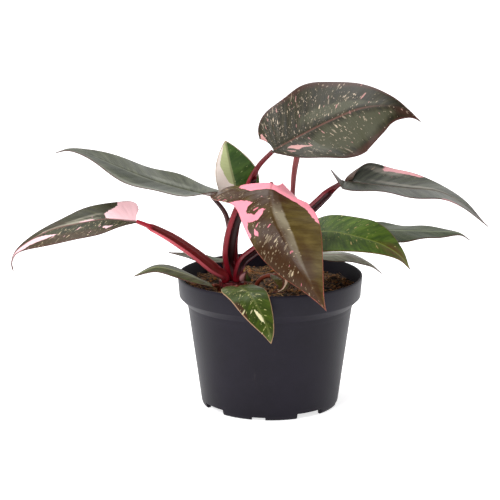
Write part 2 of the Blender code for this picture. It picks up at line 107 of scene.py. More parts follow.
def fade(tree, value, start, end):
    """0 at start, 1 at end, smooth in between."""
    sockets = {"Value": value, "From Min": start, "From Max": end}
    item = add(tree, "ShaderNodeMapRange", sockets, interpolation_type="SMOOTHSTEP")
    return item.outputs[0]


def blend(tree, share, a, b):
    item = add(tree, "ShaderNodeMix", {0: share, 6: a, 7: b}, data_type="RGBA")
    return item.outputs[2]


def tint(tree, base, mask, share, colour):
    """Lay a colour over the base where the mask says, at most by this share."""
    return blend(tree, calc(tree, "MULTIPLY", mask, share), base, colour)


def stretch(tree, vector, scale):
    return add(tree, "ShaderNodeMapping", {"Vector": vector, "Scale": scale}).outputs[0]


def grain(tree, vector, scale, detail=2.0, rough=0.5):
    sockets = {"Vector": vector, "Scale": scale, "Detail": detail, "Roughness": rough}
    return add(tree, "ShaderNodeTexNoise", sockets).outputs[0]


def tone(red, green, blue):
    """A colour read as 0 to 255 on a screen, as Blender's linear colour."""
    values = [c / 255 for c in (red, green, blue)]
    return tuple(c / 12.92 if c < 0.04045 else ((c + 0.055) / 1.055) ** 2.4 for c in values) + (1.0,)


def new_material(name):
    material = bpy.data.materials.new(name)
    material.use_nodes = True
    tree = material.node_tree
    return material, tree, tree.nodes["Principled BSDF"]


def bump(tree, shader, height, strength, distance):
    sockets = {"Height": height, "Strength": strength, "Distance": distance}
    item = add(tree, "ShaderNodeBump", sockets)
    tree.links.new(item.outputs[0], shader.inputs["Normal"])


# %% [markdown]
# ## Floor and light
#
# The plant stands in a bright white studio: its leaves mirror a pale wall behind and
# above, while the side towards the camera is darker, which is why the middle of the black
# pot is nearly black and its edges turn grey. A sky image could do that. Here the world is
# a plain gradient from front to back, helped by two large soft panels.

# %% Floor
FLOOR_SIZE = 6.0
WHITE = (1.0, 1.0, 1.0, 1.0)
FLOOR_FINISH = {
    "Base Color": (0.9, 0.9, 0.9, 1.0), "Roughness": 0.8, "Emission Color": WHITE,
    "Emission Strength": 0.72,
}


def mesh_object(name, work):
    """An object at the origin that takes over the shape of a bmesh."""
    mesh = bpy.data.meshes.new(name)
    work.to_mesh(mesh)
    work.free()
    return new_object(name, mesh)


work = bmesh.new()
bmesh.ops.create_grid(work, x_segments=1, y_segments=1, size=FLOOR_SIZE)
floor = mesh_object("floor", work)
material, tree, shader = new_material("pale_floor")
for label, value in FLOOR_FINISH.items():
    shader.inputs[label].default_value = value
floor.data.materials.append(material)
print("floor finish:", FLOOR_FINISH)

# %% Studio light
OVERHEAD_GREY = (0.42, 0.42, 0.43, 1.0)
FRONT_GREY = (0.24, 0.24, 0.25, 1.0)
STUDIO_STRENGTH = 1.05
PLANT_MIDDLE = (0.0, 0.0, 0.12)
bpy.context.scene.view_settings.view_transform = "Standard"
world = bpy.data.worlds.new("studio")
world.use_nodes = True
bpy.context.scene.world = world
tree = world.node_tree
way = add(tree, "ShaderNodeTexCoord").outputs["Generated"]
parts = add(tree, "ShaderNodeSeparateXYZ", {0: way}).outputs
backdrop = fade(tree, parts[1], -0.6, 0.3)
overhead = fade(tree, parts[2], 0.2, 0.8)
shade = blend(tree, overhead, WHITE, OVERHEAD_GREY)
shade = blend(tree, backdrop, FRONT_GREY, shade)
tree.links.new(shade, tree.nodes["Background"].inputs["Color"])
tree.nodes["Background"].inputs["Strength"].default_value = STUDIO_STRENGTH


def panel(name, place, size, power):
    light = bpy.data.lights.new(name, "AREA")
    light.size = size
    light.energy = power
    item = new_object(name, light)
    item.location = place
    item.rotation_euler = (Vector(PLANT_MIDDLE) - Vector(place)).to_track_quat("-Z", "Y").to_euler()


panel("top_panel", (-0.3, 0.2, 1.3), size=0.8, power=13.0)
panel("front_panel", (-0.75, -1.15, 1.05), size=0.7, power=14.0)

# %% [markdown]
# ## One sheet for everything that grows
#
# A leaf, a stalk and a rolled leaf are all sheets: a flat grid of points that is bent into
# its place. `bmesh.ops.create_grid` makes the flat grid, a rule moves each of its points,
# and the UV map keeps where each point was, in centimetres along and across, so that
# markings can follow the veins. Drawing each leaf by hand would look freer, but a rule keeps
# the leaf's form, its veins and its markings in step.

# %% Sheets
MERGE = 0.01


def sheet(columns, rows, place):
    """A grid of a x b, each from 0 to 1, put where place(a, b) says: points, UVs, named values."""
    work = bmesh.new()
    bmesh.ops.create_grid(work, x_segments=columns, y_segments=rows, size=0.5)
    flat = np.array([v.co for v in work.verts])
    points, uvs, values = place(flat[:, 0] + 0.5, flat[:, 1] + 0.5)
    layers = [(work.verts.layers.float.new(key), row) for key, row in values.items()]
    uv = work.loops.layers.uv.new("UVMap")
    for index, vert in enumerate(work.verts):
        vert.co = Vector(points[index]) * MM
        for layer, row in layers:
            vert[layer] = float(row[index])
        for loop in vert.link_loops:
            loop[uv].uv = uvs[index]
    bmesh.ops.remove_doubles(work, verts=work.verts, dist=MERGE * MM)
    return work


def finish_piece(name, work, materials, slot, *nodes):
    """Make the object, which rides on the one body and stands for the frame's nodes named."""
    item = mesh_object(name, work)
    item.data.shade_smooth()
    for material in materials:
        item.data.materials.append(material)
    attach(item, "root")
    if nodes:
        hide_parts(*nodes)
    return item


# %% [markdown]
# ## Paths and frames
#
# A midrib or a stalk is a smooth path through a few points. At every place on it we need
# three directions: along it, towards its upper face, and to its side.

# %% Paths
PATH_STEPS = 20


def resample(path, count):
    """The path with evenly spaced points, and its length."""
    run = np.concatenate([[0.0], np.cumsum(np.linalg.norm(np.diff(path, axis=0), axis=1))])
    even = np.linspace(0.0, run[-1], count)
    return np.stack([np.interp(even, run, path[:, axis]) for axis in range(3)], axis=1), run[-1]


def smooth_path(points, count):
    """A smooth curve through every point, with its ends going straight on."""
    knots = np.array(points, float)
    guide = np.vstack([2 * knots[0] - knots[1], knots, 2 * knots[-1] - knots[-2]])
    fine = [knots[0]]
    for a, b, c, d in zip(guide, guide[1:], guide[2:], guide[3:]):
        for t in np.linspace(1 / PATH_STEPS, 1.0, PATH_STEPS):
            cubic = 3 * b - a - 3 * c + d
            square = 2 * a - 5 * b + 4 * c - d
            fine.append(0.5 * (2 * b + (c - a) * t + square * t * t + cubic * t ** 3))
    return resample(np.array(fine), count)


def unit(vectors):
    return vectors / np.linalg.norm(vectors, axis=-1, keepdims=True)


def path_frames(path, face_start, face_end):
    """Directions along the path, towards its upper face and to its side."""
    along = unit(np.gradient(path, axis=0))
    turn = np.linspace(0.0, 1.0, len(path))[:, None]
    face = (1 - turn) * np.array(face_start, float) + turn * np.array(face_end, float)
    face = unit(face - along * np.sum(face * along, axis=1, keepdims=True))
    return along, face, np.cross(along, face)


def read_at(table, stations, wanted):
    return np.stack([np.interp(wanted, stations, table[:, axis]) for axis in range(3)], axis=1)


# %% [markdown]
# ## The leaf rule
#
# The blade of this philodendron is a long heart. Lateral veins leave the midrib and sweep
# out and forward to the margin, so each point of the blade is named by its vein `p`, from
# the heart's notch (0) to the tip (1), and by how far out along that vein it lies, `s`, from
# the left margin (-1) over the midrib (0) to the right one (1). The two halves have forms
# of their own, because young leaves curl and fold unevenly.

# %% The two halves of a blade
def half(width, root, widest, fold, lobe=0.05, curl=0, lift=0, tuck=0, swing=0.8, flare=0):
    """Width in millimetres; fold, curl, lift and tuck in degrees; swing a power; the rest shares."""
    form = dict(width=width, root=root, widest=widest, fold=fold, lobe=lobe)
    form.update(curl=curl, lift=lift, tuck=tuck, swing=swing, flare=flare)
    return form


# %% [markdown]
# The rule has two steps. The first finds where each point lies on a blade laid flat: how
# far along the midrib (u) and how far out from it (v). The second bends that flat blade
# along its rib, folds and curls its halves, lifts the lobes and adds the waves of its rim.

# %% The flat blade
VEIN_START_POWER, VEIN_END_POWER = 1.8, 1.15
VEIN_SWEEP, SINUS_SWEEP = 1.2, 0.3
SINUS_END = 0.3
FLARE_PLACE, FLARE_SPREAD = 0.09, 0.17
TAIL_WIDTH, TAIL_CLOSING = 0.5, 0.02


def flat_blade(form, taper, length, p, q):
    """Along the midrib (u), out from it (v) and the blade's reach there, in millimetres."""
    sinus = np.maximum(1 - p / SINUS_END, 0.0)
    start = length * p ** VEIN_START_POWER
    end = length * (-form["lobe"] + (1 + form["lobe"]) * p ** VEIN_END_POWER)
    u = start + (end - start) * q ** (VEIN_SWEEP + SINUS_SWEEP * sinus)
    widest = form["widest"]
    rise = form["root"] + (1 - form["root"]) * np.sin(np.pi / 2 * (p / widest) ** form["swing"])
    fall = np.cos(np.pi / 2 * np.clip((p - widest) / (1 - widest), 0, 1))
    flare = form["flare"] * np.exp(-((p - FLARE_PLACE) / FLARE_SPREAD) ** 2)
    reach = form["width"] * (flare + np.where(p < widest, rise, np.maximum(fall, 0.0) ** taper))
    reach = np.maximum(reach, TAIL_WIDTH * np.clip((1 - p) / TAIL_CLOSING, 0, 1))
    return u, reach * q ** (1 - SINUS_SWEEP * sinus), reach


# %% The bent blade
RIB_POINTS = 80
TUCK_END = 0.6
RIPPLE_FADE_START = 0.35
RIPPLE_SIDE_SHIFT = 1.3
NO_CURL = 0.01


def blade_points(leaf, p, s):
    path, length = smooth_path(leaf["rib"], RIB_POINTS)
    frames = path_frames(path, *leaf["face"])
    run = np.linspace(0.0, length, len(path))
    form = {key: np.where(s > 0, leaf["right"][key], leaf["left"][key]) for key in leaf["right"]}
    q = np.abs(s)
    u, v, reach = flat_blade(form, leaf["taper"], length, p, q)
    held = np.clip(u, 0.0, length)
    place = read_at(path, run, held)
    along, face, side = [read_at(table, run, held) for table in frames]
    lift = np.radians(form["lift"])[:, None]
    back = np.minimum(u, 0.0)[:, None]
    place = place + back * (along * np.cos(lift) - face * np.sin(lift))
    angle = np.radians(form["fold"] + form["tuck"] * np.maximum(0.0, 1 - p / TUCK_END) ** 2)
    bend = np.radians(np.where(form["curl"] == 0, NO_CURL, form["curl"])) / form["width"]
    across = (np.sin(angle + bend * v) - np.sin(angle)) / bend
    up = (np.cos(angle) - np.cos(angle + bend * v)) / bend
    height, count, phase = leaf["wave"]
    calm = np.clip((p - RIPPLE_FADE_START) / (1 - RIPPLE_FADE_START), 0, 1)
    shift = phase + np.where(s > 0, RIPPLE_SIDE_SHIFT, 0.0)
    up = up + height * q * q * np.cos(np.pi / 2 * calm) * np.sin(2 * np.pi * count * p + shift)
    up = up + leaf_relief(p * length, v, q, p)
    points = place + side * (across * np.sign(s))[:, None] + face * up[:, None]
    return points, length, v, reach


# %% [markdown]
# The midrib lies in a shallow groove and each lateral vein in a finer one, so the blade
# between two veins swells a little. A bump map could fake that, but a real swell catches
# the light at the right places, and it costs nothing because the grid is dense.

# %% Relief between the veins
VEIN_SPACING = 7.5
VEIN_DEPTH = 0.26
MIDRIB_DEPTH, MIDRIB_WIDTH = 0.45, 1.1


def leaf_relief(x, v, q, p):
    ridge = np.abs(np.sin(np.pi * x / VEIN_SPACING)) ** 0.6
    soft = np.sin(np.pi * np.clip(q, 0, 1)) * (1 - p ** 3)
    groove = np.exp(-(v / MIDRIB_WIDTH) ** 2) * (1 - p ** 2)
    return VEIN_DEPTH * (ridge - 0.7) * soft - MIDRIB_DEPTH * groove


# %% [markdown]
# ## The leaves of this plant
#
# Fourteen leaves, each with its rib, the way its face turns, its two halves and its stalk.
# The same numbers shaped the plain solids in the frame, so each finer leaf lies where its
# solid does.

# %% Large leaves
LEAVES = dict(
    top=dict(
        taper=1.7,
        rib=[(2, -4, 168), (19, -6, 178), (38, -8, 188), (57, -10, 196), (75, -12, 198), (87, -13, 194),
             (95, -13, 188)],
        face=[(-0.2, -0.7, 0.7), (0.2, -0.7, 0.7)],
        right=half(30.5, 0.45, 0.6, -7, lobe=0.0, tuck=60, swing=1.2),
        left=half(36.5, 0.4, 0.36, -6, lobe=0.06, swing=0.55),
        wave=(1.3, 3.0, 0.0),
        stalk=[(-25, 1, 82), (-25.5, 0, 88), (-27, -2, 99), (-25, -3, 114), (-20, -4, 129), (-14, -4, 143),
               (-8, -4, 157), (2, -4, 168)],
        girth=[(0, 3.2, 2.6), (0.2, 5.6, 3.2), (0.5, 5.0, 3.0), (0.75, 3.6, 2.2), (0.83, 1.8, 1.6),
               (1, 1.4, 1.4)],
    ),
    right=dict(
        taper=1.5,
        rib=[(48, 2, 147), (66, 0, 145), (87, -2, 143), (108, -4, 141), (124, -6, 133), (140, -8, 119)],
        face=[(0.0, -0.1, 1.0), (0.3, -0.1, 1.0)],
        right=half(23, 0.55, 0.6, 4, lobe=0.12, lift=42, swing=0.7),
        left=half(28, 0.05, 0.32, 2, lobe=-0.05, tuck=36),
        wave=(1.2, 2.5, 0.5),
        stalk=[(-21.5, -5, 82), (-20.5, -5.5, 89), (-17.5, -5, 96), (-10, -4, 102), (8, -2, 114),
               (25.5, 0, 128), (39, 2, 140.5), (48, 2, 147)],
        girth=[(0, 2.6, 2.4), (0.15, 3.5, 3.0), (0.5, 3.9, 3.0), (0.85, 3.4, 2.6), (0.94, 1.8, 1.6),
               (1, 1.4, 1.4)],
    ),
    front=dict(
        taper=1.25,
        rib=[(1, -20, 150), (0, -31, 147), (1, -42, 137), (6, -50, 126), (14, -58, 112), (23, -66, 98),
             (34, -72, 80)],
        face=[(0.0, -0.3, 1.0), (-0.5, -0.8, 0.2)],
        right=half(20, 0.5, 0.5, -6, lobe=0.12, curl=-15, lift=-18, tuck=4, swing=0.6, flare=1.32),
        left=half(26.5, 0.3, 0.45, -10, lobe=0.11, curl=-10, lift=5, tuck=-35, swing=0.65),
        wave=(1.0, 2.0, 0.0),
        stalk=[(-19.5, 4.3, 82), (-21.5, 4.3, 90), (-22.8, 4.3, 98), (-22.5, 4.3, 110), (-19, 4, 126),
               (-12, 0.3, 137.8), (-4, -10.6, 143.3), (0.9, -19.7, 149.6)],
        girth=[(0, 2.2, 2.0), (0.3, 2.0, 1.8), (0.6, 1.7, 1.6), (1, 1.4, 1.4)],
    ),
    upper_left=dict(
        taper=1.35,
        rib=[(-38, 8, 136), (-57, 10, 140), (-78, 12, 146), (-99, 14, 154), (-118, 15, 162), (-130, 15, 165),
             (-139, 15, 163)],
        face=[(0.1, 0.0, 1.0), (0.3, 0.0, 1.0)],
        right=half(26, 0.15, 0.5, 6, lobe=0.08, swing=0.55),
        left=half(24, 0.15, 0.45, -7, lobe=0.08, tuck=34, swing=0.55),
        wave=(1.2, 2.5, 1.0),
        stalk=[(-28.5, 6, 82), (-28, 7, 90), (-27, 8, 97), (-26, 7, 109), (-29, 8, 124), (-38, 8, 136)],
        girth=[(0, 2.2, 2.0), (0.3, 2.2, 2.0), (0.7, 1.6, 1.5), (1, 1.3, 1.3)],
    ),
    lower_left=dict(
        taper=1.9,
        rib=[(-86, -14, 124), (-104, -17, 126), (-121, -20, 124), (-139, -22, 120), (-153, -23, 113),
             (-162, -23, 106), (-165, -23, 99), (-164, -23, 93)],
        face=[(-0.1, -0.25, 1.0), (-0.5, -0.3, 0.8)],
        right=half(18.5, 0.45, 0.22, 0, lobe=0.02, tuck=28, swing=0.5),
        left=half(20.5, 0.1, 0.5, -3, lobe=0.0, swing=1.0),
        wave=(0.8, 2.5, 0.0),
        stalk=[(-28.5, -4.5, 82), (-30, -5.5, 86), (-36, -8, 91), (-48, -9, 101), (-63, -11, 112),
               (-77, -13, 120), (-86, -14, 124)],
        girth=[(0, 2.8, 2.4), (0.2, 4.2, 2.6), (0.6, 3.8, 2.4), (0.85, 2.8, 1.8), (0.9, 1.6, 1.4),
               (1, 1.3, 1.3)],
    ),
)

# %% Smaller leaves
LEAVES.update(
    upright=dict(
        taper=0.85,
        rib=[(-21, 10, 133), (-23, 9, 144), (-26, 8, 157), (-29, 10, 172)],
        face=[(0.1, -1.0, 0.2), (0.1, -1.0, 0.2)],
        right=half(16.5, 0.3, 0.4, 8, lobe=0.02, swing=0.6),
        left=half(12, 0.3, 0.45, 15, lobe=0.02, swing=0.6),
        wave=(0.3, 2.0, 0.0),
        stalk=[(-24, 12, 66), (-24, 12, 84), (-23, 11, 100), (-21, 10, 118), (-21, 10, 133)],
        girth=[(0, 1.4, 1.4), (1, 1.1, 1.1)],
    ),
    right_mid=dict(
        taper=1.25,
        rib=[(27, 4, 113), (40, 0, 114), (55, -5, 112), (71, -10, 108), (83, -13, 101), (90, -14, 92)],
        face=[(0.0, -0.15, 1.0), (0.4, -0.2, 1.0)],
        right=half(25, 0.5, 0.25, -10, lobe=0.05, swing=0.6),
        left=half(21, 0.25, 0.5, 15, lobe=0.05, swing=0.6),
        wave=(0.5, 2.0, 0.0),
        stalk=[(15.5, 15.5, 82), (15.5, 15, 90), (16.5, 13, 98), (20, 9, 106), (27, 4, 113)],
        girth=[(0, 1.8, 1.6), (1, 1.2, 1.2)],
    ),
    right_back=dict(
        taper=1.25,
        rib=[(46, 26, 110), (65, 28, 109), (86, 30, 108), (108, 31, 107), (125, 31, 106), (133, 31, 101)],
        face=[(0.0, 0.0, 1.0), (0.2, 0.0, 1.0)],
        right=half(19, 0.2, 0.5, -8, lobe=0.05, swing=0.6),
        left=half(19, 0.2, 0.5, 0, lobe=0.05, swing=0.6),
        wave=(1.2, 3.0, 0.0),
        stalk=[(20.5, 21, 82), (21, 21, 90), (25, 22, 98), (34, 24, 106), (46, 26, 110)],
        girth=[(0, 1.8, 1.6), (1, 1.2, 1.2)],
    ),
    right_low=dict(
        taper=1.25,
        rib=[(28, 12, 95), (41, 16, 95), (54, 19, 93), (66, 20, 88), (74, 20, 81)],
        face=[(0.0, 0.0, 1.0), (0.4, 0.0, 1.0)],
        right=half(11, 0.2, 0.45, -10, lobe=0.0, swing=0.6),
        left=half(11, 0.2, 0.45, -5, lobe=0.0, swing=0.6),
        wave=(0.4, 2.0, 0.0),
        stalk=[(20.5, 16, 82), (21.5, 15, 89), (24, 13.5, 93), (28, 12, 95)],
        girth=[(0, 1.3, 1.3), (1, 1.1, 1.1)],
    ),
    rim_left=dict(
        taper=1.0,
        rib=[(-37, -20, 83), (-47, -24, 89), (-59, -27, 94), (-73, -28, 97), (-87, -28, 91)],
        face=[(0.0, -0.1, 1.0), (-0.3, -0.1, 1.0)],
        right=half(11, 0.2, 0.45, -6, lobe=0.0, swing=0.6),
        left=half(11, 0.2, 0.45, -6, lobe=0.0, swing=0.6),
        wave=(0.4, 2.0, 0.0),
        stalk=[(-33, -13, 66), (-33, -13.3, 79), (-34.5, -16, 82), (-37, -20, 83)],
        girth=[(0, 1.4, 1.4), (1, 1.1, 1.1)],
    ),
    back_left=dict(
        taper=1.25,
        rib=[(-31, 16, 90), (-41, 20, 90), (-53, 24, 92), (-67, 26, 94)],
        face=[(0.0, -0.1, 1.0), (0.0, -0.1, 1.0)],
        right=half(8, 0.2, 0.45, 0, lobe=0.02, swing=0.6),
        left=half(8, 0.2, 0.45, 8, lobe=0.02, swing=0.6),
        wave=(0.2, 2.0, 0.0),
        stalk=[(-29, 15, 66), (-29, 15, 80), (-29.5, 15.5, 86), (-31, 16, 90)],
        girth=[(0, 1.2, 1.2), (1, 1.0, 1.0)],
    ),
    rim_front=dict(
        taper=0.9,
        rib=[(-21, -36, 86.4), (-17, -51, 88.5), (-12, -62, 86.5), (-6, -69, 77), (-1.5, -72, 67),
             (0, -72, 59)],
        face=[(0.0, -0.2, 1.0), (0.3, -1.0, 0.1)],
        right=half(14, 0.2, 0.4, 0, lobe=0.03, swing=0.6),
        left=half(11, 0.2, 0.4, 0, lobe=0.03, swing=0.6),
        wave=(0.5, 2.0, 0.0),
        stalk=[(-24, -20, 66), (-24, -20.3, 79), (-23.5, -27, 83.2), (-21, -36, 86.4)],
        girth=[(0, 1.5, 1.5), (1, 1.2, 1.2)],
    ),
    young_front=dict(
        taper=1.25,
        rib=[(4, -26, 91), (8, -34, 90), (7, -40, 86), (1, -43, 84)],
        face=[(0.0, -0.3, 1.0), (-0.3, -1.0, 0.5)],
        right=half(7, 0.6, 0.4, 20, lobe=0.02),
        left=half(7, 0.6, 0.4, 20, lobe=0.02),
        wave=(0.3, 1.0, 0.0),
        stalk=[(-10, -15, 66), (-9.5, -15, 77), (-8, -16, 84), (-3, -20, 89), (4, -26, 91)],
        girth=[(0, 1.5, 1.5), (1, 1.3, 1.3)],
    ),
    tiny=dict(
        taper=1.25,
        rib=[(-16, -8, 83), (-16, -11, 87), (-15, -12.5, 91)],
        face=[(0.0, -1.0, 0.6), (0.0, -1.0, 0.6)],
        right=half(4, 0.6, 0.4, 10, lobe=0.02),
        left=half(4, 0.6, 0.4, 10, lobe=0.02),
        wave=(0.1, 1.0, 0.0),
        stalk=[(-16, -9, 66), (-16, -9, 74), (-16, -8.7, 78), (-16, -8, 83)],
        girth=[(0, 1.1, 1.1), (1, 0.9, 0.9)],
    ),
)
print("leaves:", len(LEAVES))

# %% [markdown]
# ## Where the pink goes
#
# The pink of this plant is tissue without green, so its patches end at veins, with edges
# torn along them. A patch is a loop of corners on the leaf, given as (vein, place on the
# vein). For each point of the blade we keep how deep inside a patch it lies, and the
# material tears that edge with noise. Painting the patches with an image would be quicker,
# but it would blur up close, and it could not follow the veins.

# %% Pink patches
PATCHES = dict(
    front=[
        [(-0.1, 0.42), (0.17, 0.43), (0.24, 0.4), (0.25, 0.25), (0.26, 0.07), (0.27, -0.05), (0.3, -0.27),
         (0.33, -0.47), (0.35, -0.65), (0.4, -0.8), (0.48, -0.84), (0.56, -0.92), (0.6, -1.1), (-0.1, -1.1)],
        [(0.24, 1.1), (0.27, 0.95), (0.29, 0.78), (0.32, 0.65), (0.35, 0.54), (0.36, 0.7), (0.38, 0.8),
         (0.4, 0.73), (0.43, 0.55), (0.425, 0.4), (0.43, 0.24), (0.46, 0.32), (0.465, 0.5), (0.45, 0.7),
         (0.43, 0.84), (0.45, 0.92), (0.49, 0.9), (0.5, 0.96), (0.47, 1.1)],
        [(0.48, 0.72), (0.52, 0.66), (0.53, 0.72), (0.5, 0.8)],
    ],
    lower_left=[
        [(-0.1, -0.05), (-0.1, 1.1), (0.17, 1.1), (0.18, 0.95), (0.2, 0.78), (0.27, 0.6), (0.31, 0.53),
         (0.37, 0.35), (0.4, 0.08), (0.36, -0.02), (0.2, -0.05)],
        [(0.28, -0.52), (0.36, -0.48), (0.37, -0.56), (0.31, -0.7)],
        [(0.48, 0.02), (0.56, 0.02), (0.58, 0.12), (0.5, 0.14)],
        [(0.66, -0.5), (0.72, -0.4), (0.8, -0.2), (0.86, 0.1), (0.9, 0.3), (1.1, 1.1), (1.1, -1.1),
         (0.85, -1.1), (0.8, -0.7), (0.72, -0.62)],
    ],
    right=[
        [(0.2, -1.1), (0.24, -0.97), (0.27, -0.92), (0.28, -0.8), (0.31, -0.76), (0.34, -0.82), (0.4, -0.82),
         (0.45, -0.86), (0.52, -0.9), (0.56, -1.1)],
        [(0.68, 1.1), (0.72, 0.94), (0.8, 0.93), (0.86, 1.1)],
    ],
    top=[
        [(0.235, 0.2), (0.28, 0.17), (0.33, 0.28), (0.4, 0.44), (0.33, 0.39), (0.285, 0.46), (0.27, 0.34)],
        [(0.2, 0.34), (0.22, 0.33), (0.26, 0.5), (0.24, 0.5)],
        [(-0.1, -0.9), (-0.1, -0.45), (0.01, -0.45), (0.012, -0.8), (0.006, -0.9)],
    ],
    rim_front=[
        [(0.74, 0.3), (0.79, 0.12), (0.83, 0.0), (0.87, 0.08), (0.82, 0.34), (0.77, 0.38)],
    ],
    upright=[
        [(-0.1, 0.0), (0.46, -0.05), (0.5, -0.3), (0.57, -0.42), (0.65, -0.57), (0.72, -0.76), (0.8, -0.74),
         (0.89, -0.68), (0.97, -0.9), (1.0, -1.1), (-0.1, -1.1)],
    ],
    young_front=[[(0.2, -0.55), (0.9, -0.5), (0.9, -0.2), (0.2, -0.25)]],
    tiny=[[(-0.1, -0.2), (1.1, -0.2), (1.1, -1.1), (-0.1, -1.1)]],
)


# %% How deep inside a patch
DEEPEST = 4.0
TINY = 1e-9


def depth_in_loop(x, y, corners):
    """Distance to the loop's edge, positive inside it."""
    nearest = np.full(len(x), np.inf)
    inside = np.zeros(len(x), bool)
    for (ax, ay), (bx, by) in zip(corners, corners[1:] + corners[:1]):
        share = ((x - ax) * (bx - ax) + (y - ay) * (by - ay)) / ((bx - ax) ** 2 + (by - ay) ** 2)
        share = np.clip(share, 0, 1)
        gap = np.hypot(x - ax - share * (bx - ax), y - ay - share * (by - ay))
        nearest = np.minimum(nearest, gap)
        crosses = (ay > y) != (by > y)
        inside ^= crosses & (x < ax + (bx - ax) * (y - ay) / (by - ay if by != ay else TINY))
    return np.where(inside, nearest, -nearest)


def patch_depth(name, p, s, length, width):
    """Millimetres that each point lies inside the nearest patch, at most DEEPEST either way."""
    depth = np.full(len(p), -DEEPEST)
    for loop in PATCHES.get(name, []):
        corners = [(a * length, b * width) for a, b in loop]
        depth = np.maximum(depth, depth_in_loop(p * length, s * width, corners))
    return np.clip(depth, -DEEPEST, DEEPEST)


# %% [markdown]
# ## Flecks, pale parts, painted sheen and bronze
#
# Between the patches the leaves are sprinkled with cream and pink flecks, thick in some
# parts and missing in others. Some tissue is paler, and on most leaves the pale zones are a
# painted grey sheen; young tissue near the tip and the rim is bronze. All are soft zones, so a
# few ovals on the leaf are enough to say where they are strong: the middle (vein, place on it),
# the reach each way and the strength.

# %% Zones
FLECK_ZONES = dict(
    top=[(0.3, -0.5, 0.55, 0.6, 1.0), (0.45, 0.4, 0.4, 0.5, 0.7), (0.7, -0.1, 0.3, 0.6, 0.6)],
    front=[(0.15, 0.85, 0.25, 0.35, 0.8), (0.62, 0.5, 0.32, 0.6, 1.0), (0.4, 0.3, 0.1, 0.25, 0.9)],
    lower_left=[(0.5, -0.5, 0.4, 0.6, 1.0), (0.5, 0.1, 0.3, 0.2, 0.6)],
    right=[(0.3, -0.8, 0.2, 0.3, 0.5)],
    right_mid=[(0.3, -0.5, 0.4, 0.5, 0.8), (0.5, 0.2, 0.4, 0.4, 0.8)],
    rim_front=[(0.65, 0.3, 0.5, 0.9, 1.0)],
    upright=[(0.6, 0.5, 0.4, 0.5, 0.4)],
    young_front=[(0.5, 0.0, 0.6, 1.0, 0.8)],
)
# Pale zones: the cream tissue of upright, and a painted grey sheen on the other leaves
PALE_AND_SHEEN_ZONES = dict(
    upright=[(0.7, -0.55, 0.6, 0.52, 1.0)],
    upper_left=[(0.4, -0.95, 0.5, 0.2, 0.5), (0.45, 0.25, 0.3, 0.2, 0.35)],
    front=[(0.6, -0.12, 0.3, 0.16, 0.62), (0.12, 0.85, 0.2, 0.3, 0.5)],
    top=[(0.62, 0.45, 0.3, 0.4, 0.62), (0.6, -0.3, 0.25, 0.2, 0.5)],
    lower_left=[(0.68, 0.15, 0.25, 0.2, 0.6), (0.5, 0.42, 0.2, 0.15, 0.35)],
    right=[(0.3, -0.75, 0.25, 0.2, 0.4), (0.6, -0.2, 0.4, 0.15, 0.4)],
)
BRONZE_ZONES = dict(
    top=[(0.5, -1.05, 0.6, 0.16, 1.0), (0.75, 1.05, 0.4, 0.18, 1.0), (1.0, 0.0, 0.12, 1.0, 0.7)],
    front=[(0.15, 0.9, 0.3, 0.45, 0.9), (0.3, 0.0, 0.2, 0.8, 0.7), (0.8, 0.5, 0.4, 0.7, 1.0),
           (0.95, -0.3, 0.3, 0.6, 0.6)],
    lower_left=[(0.6, -0.9, 0.4, 0.4, 1.0), (0.75, 0.5, 0.2, 0.6, 0.4)],
    right_mid=[(0.95, 0.0, 0.2, 1.0, 0.7)],
    rim_front=[(0.63, 0.97, 0.08, 0.2, 1.3)],
    right=[(0.03, 0.9, 0.08, 0.4, 1.3)],
    upper_left=[(0.5, -0.4, 0.55, 0.3, 0.9)],
    young_front=[(0.5, 0.0, 1.0, 1.2, 0.5)],
)


# %% How strong a zone is
ZONE_EDGE = 1.4


def zone_strength(zones, p, s):
    strength = np.zeros(len(p))
    for centre_p, centre_s, reach_p, reach_s, most in zones:
        away = np.hypot((p - centre_p) / reach_p, (s - centre_s) / reach_s)
        strength = np.maximum(strength, most * np.clip(ZONE_EDGE - away, 0, 1))
    return strength


# %% Build the blades
BLADE_THICKNESS = 0.55
LARGE = ("top", "right", "front", "upper_left", "lower_left")
LARGE_GRID, SMALL_GRID = (72, 120), (44, 72)


def blade(name, leaf):
    columns, rows = LARGE_GRID if name in LARGE else SMALL_GRID

    def place(a, b):
        p, s = b, 2 * a - 1
        points, length, v, reach = blade_points(leaf, p, s)
        uvs = np.stack([p * length / 10, np.sign(s) * v / 10], axis=1)
        width = (leaf["right"]["width"] + leaf["left"]["width"]) / 2
        rim = np.minimum((1 - np.abs(s)) * reach, (1 - p) * length * 0.5)
        values = dict(patch=patch_depth(name, p, s, length, width), rim=rim, rib=v)
        for key, zones in (("flecks", FLECK_ZONES), ("bronze", BRONZE_ZONES), ("pale", PALE_AND_SHEEN_ZONES)):
            values[key] = zone_strength(zones.get(name, []), p, s)
        return points, uvs, values

    return sheet(columns, rows, place)


# %% [markdown]
# ## Flecks as a node group
#
# Every leaf needs the same kind of flecks with its own size and amount, so they are one
# node group. A Voronoi texture scatters one cell per fleck, stretched along the veins;
# each cell's own random colour decides whether it holds a fleck and how large it is.

# %% Group helpers
NUMBER, COLOUR, VECTOR = "NodeSocketFloat", "NodeSocketColor", "NodeSocketVector"


def new_group(name, inputs, outputs):
    """A node group with its input and output sockets; an input may have a usual value."""
    group = bpy.data.node_groups.new(name, "ShaderNodeTree")
    for label, kind, value in inputs:
        socket = group.interface.new_socket(label, in_out="INPUT", socket_type=kind)
        if value is not None:
            socket.default_value = value
    for label, kind in outputs:
        group.interface.new_socket(label, in_out="OUTPUT", socket_type=kind)
    return group, add(group, "NodeGroupInput").outputs, add(group, "NodeGroupOutput")


def use_group(tree, group, sockets):
    """Place a group in a tree, feed it and give its outputs."""
    return add(tree, "ShaderNodeGroup", sockets, node_tree=group).outputs


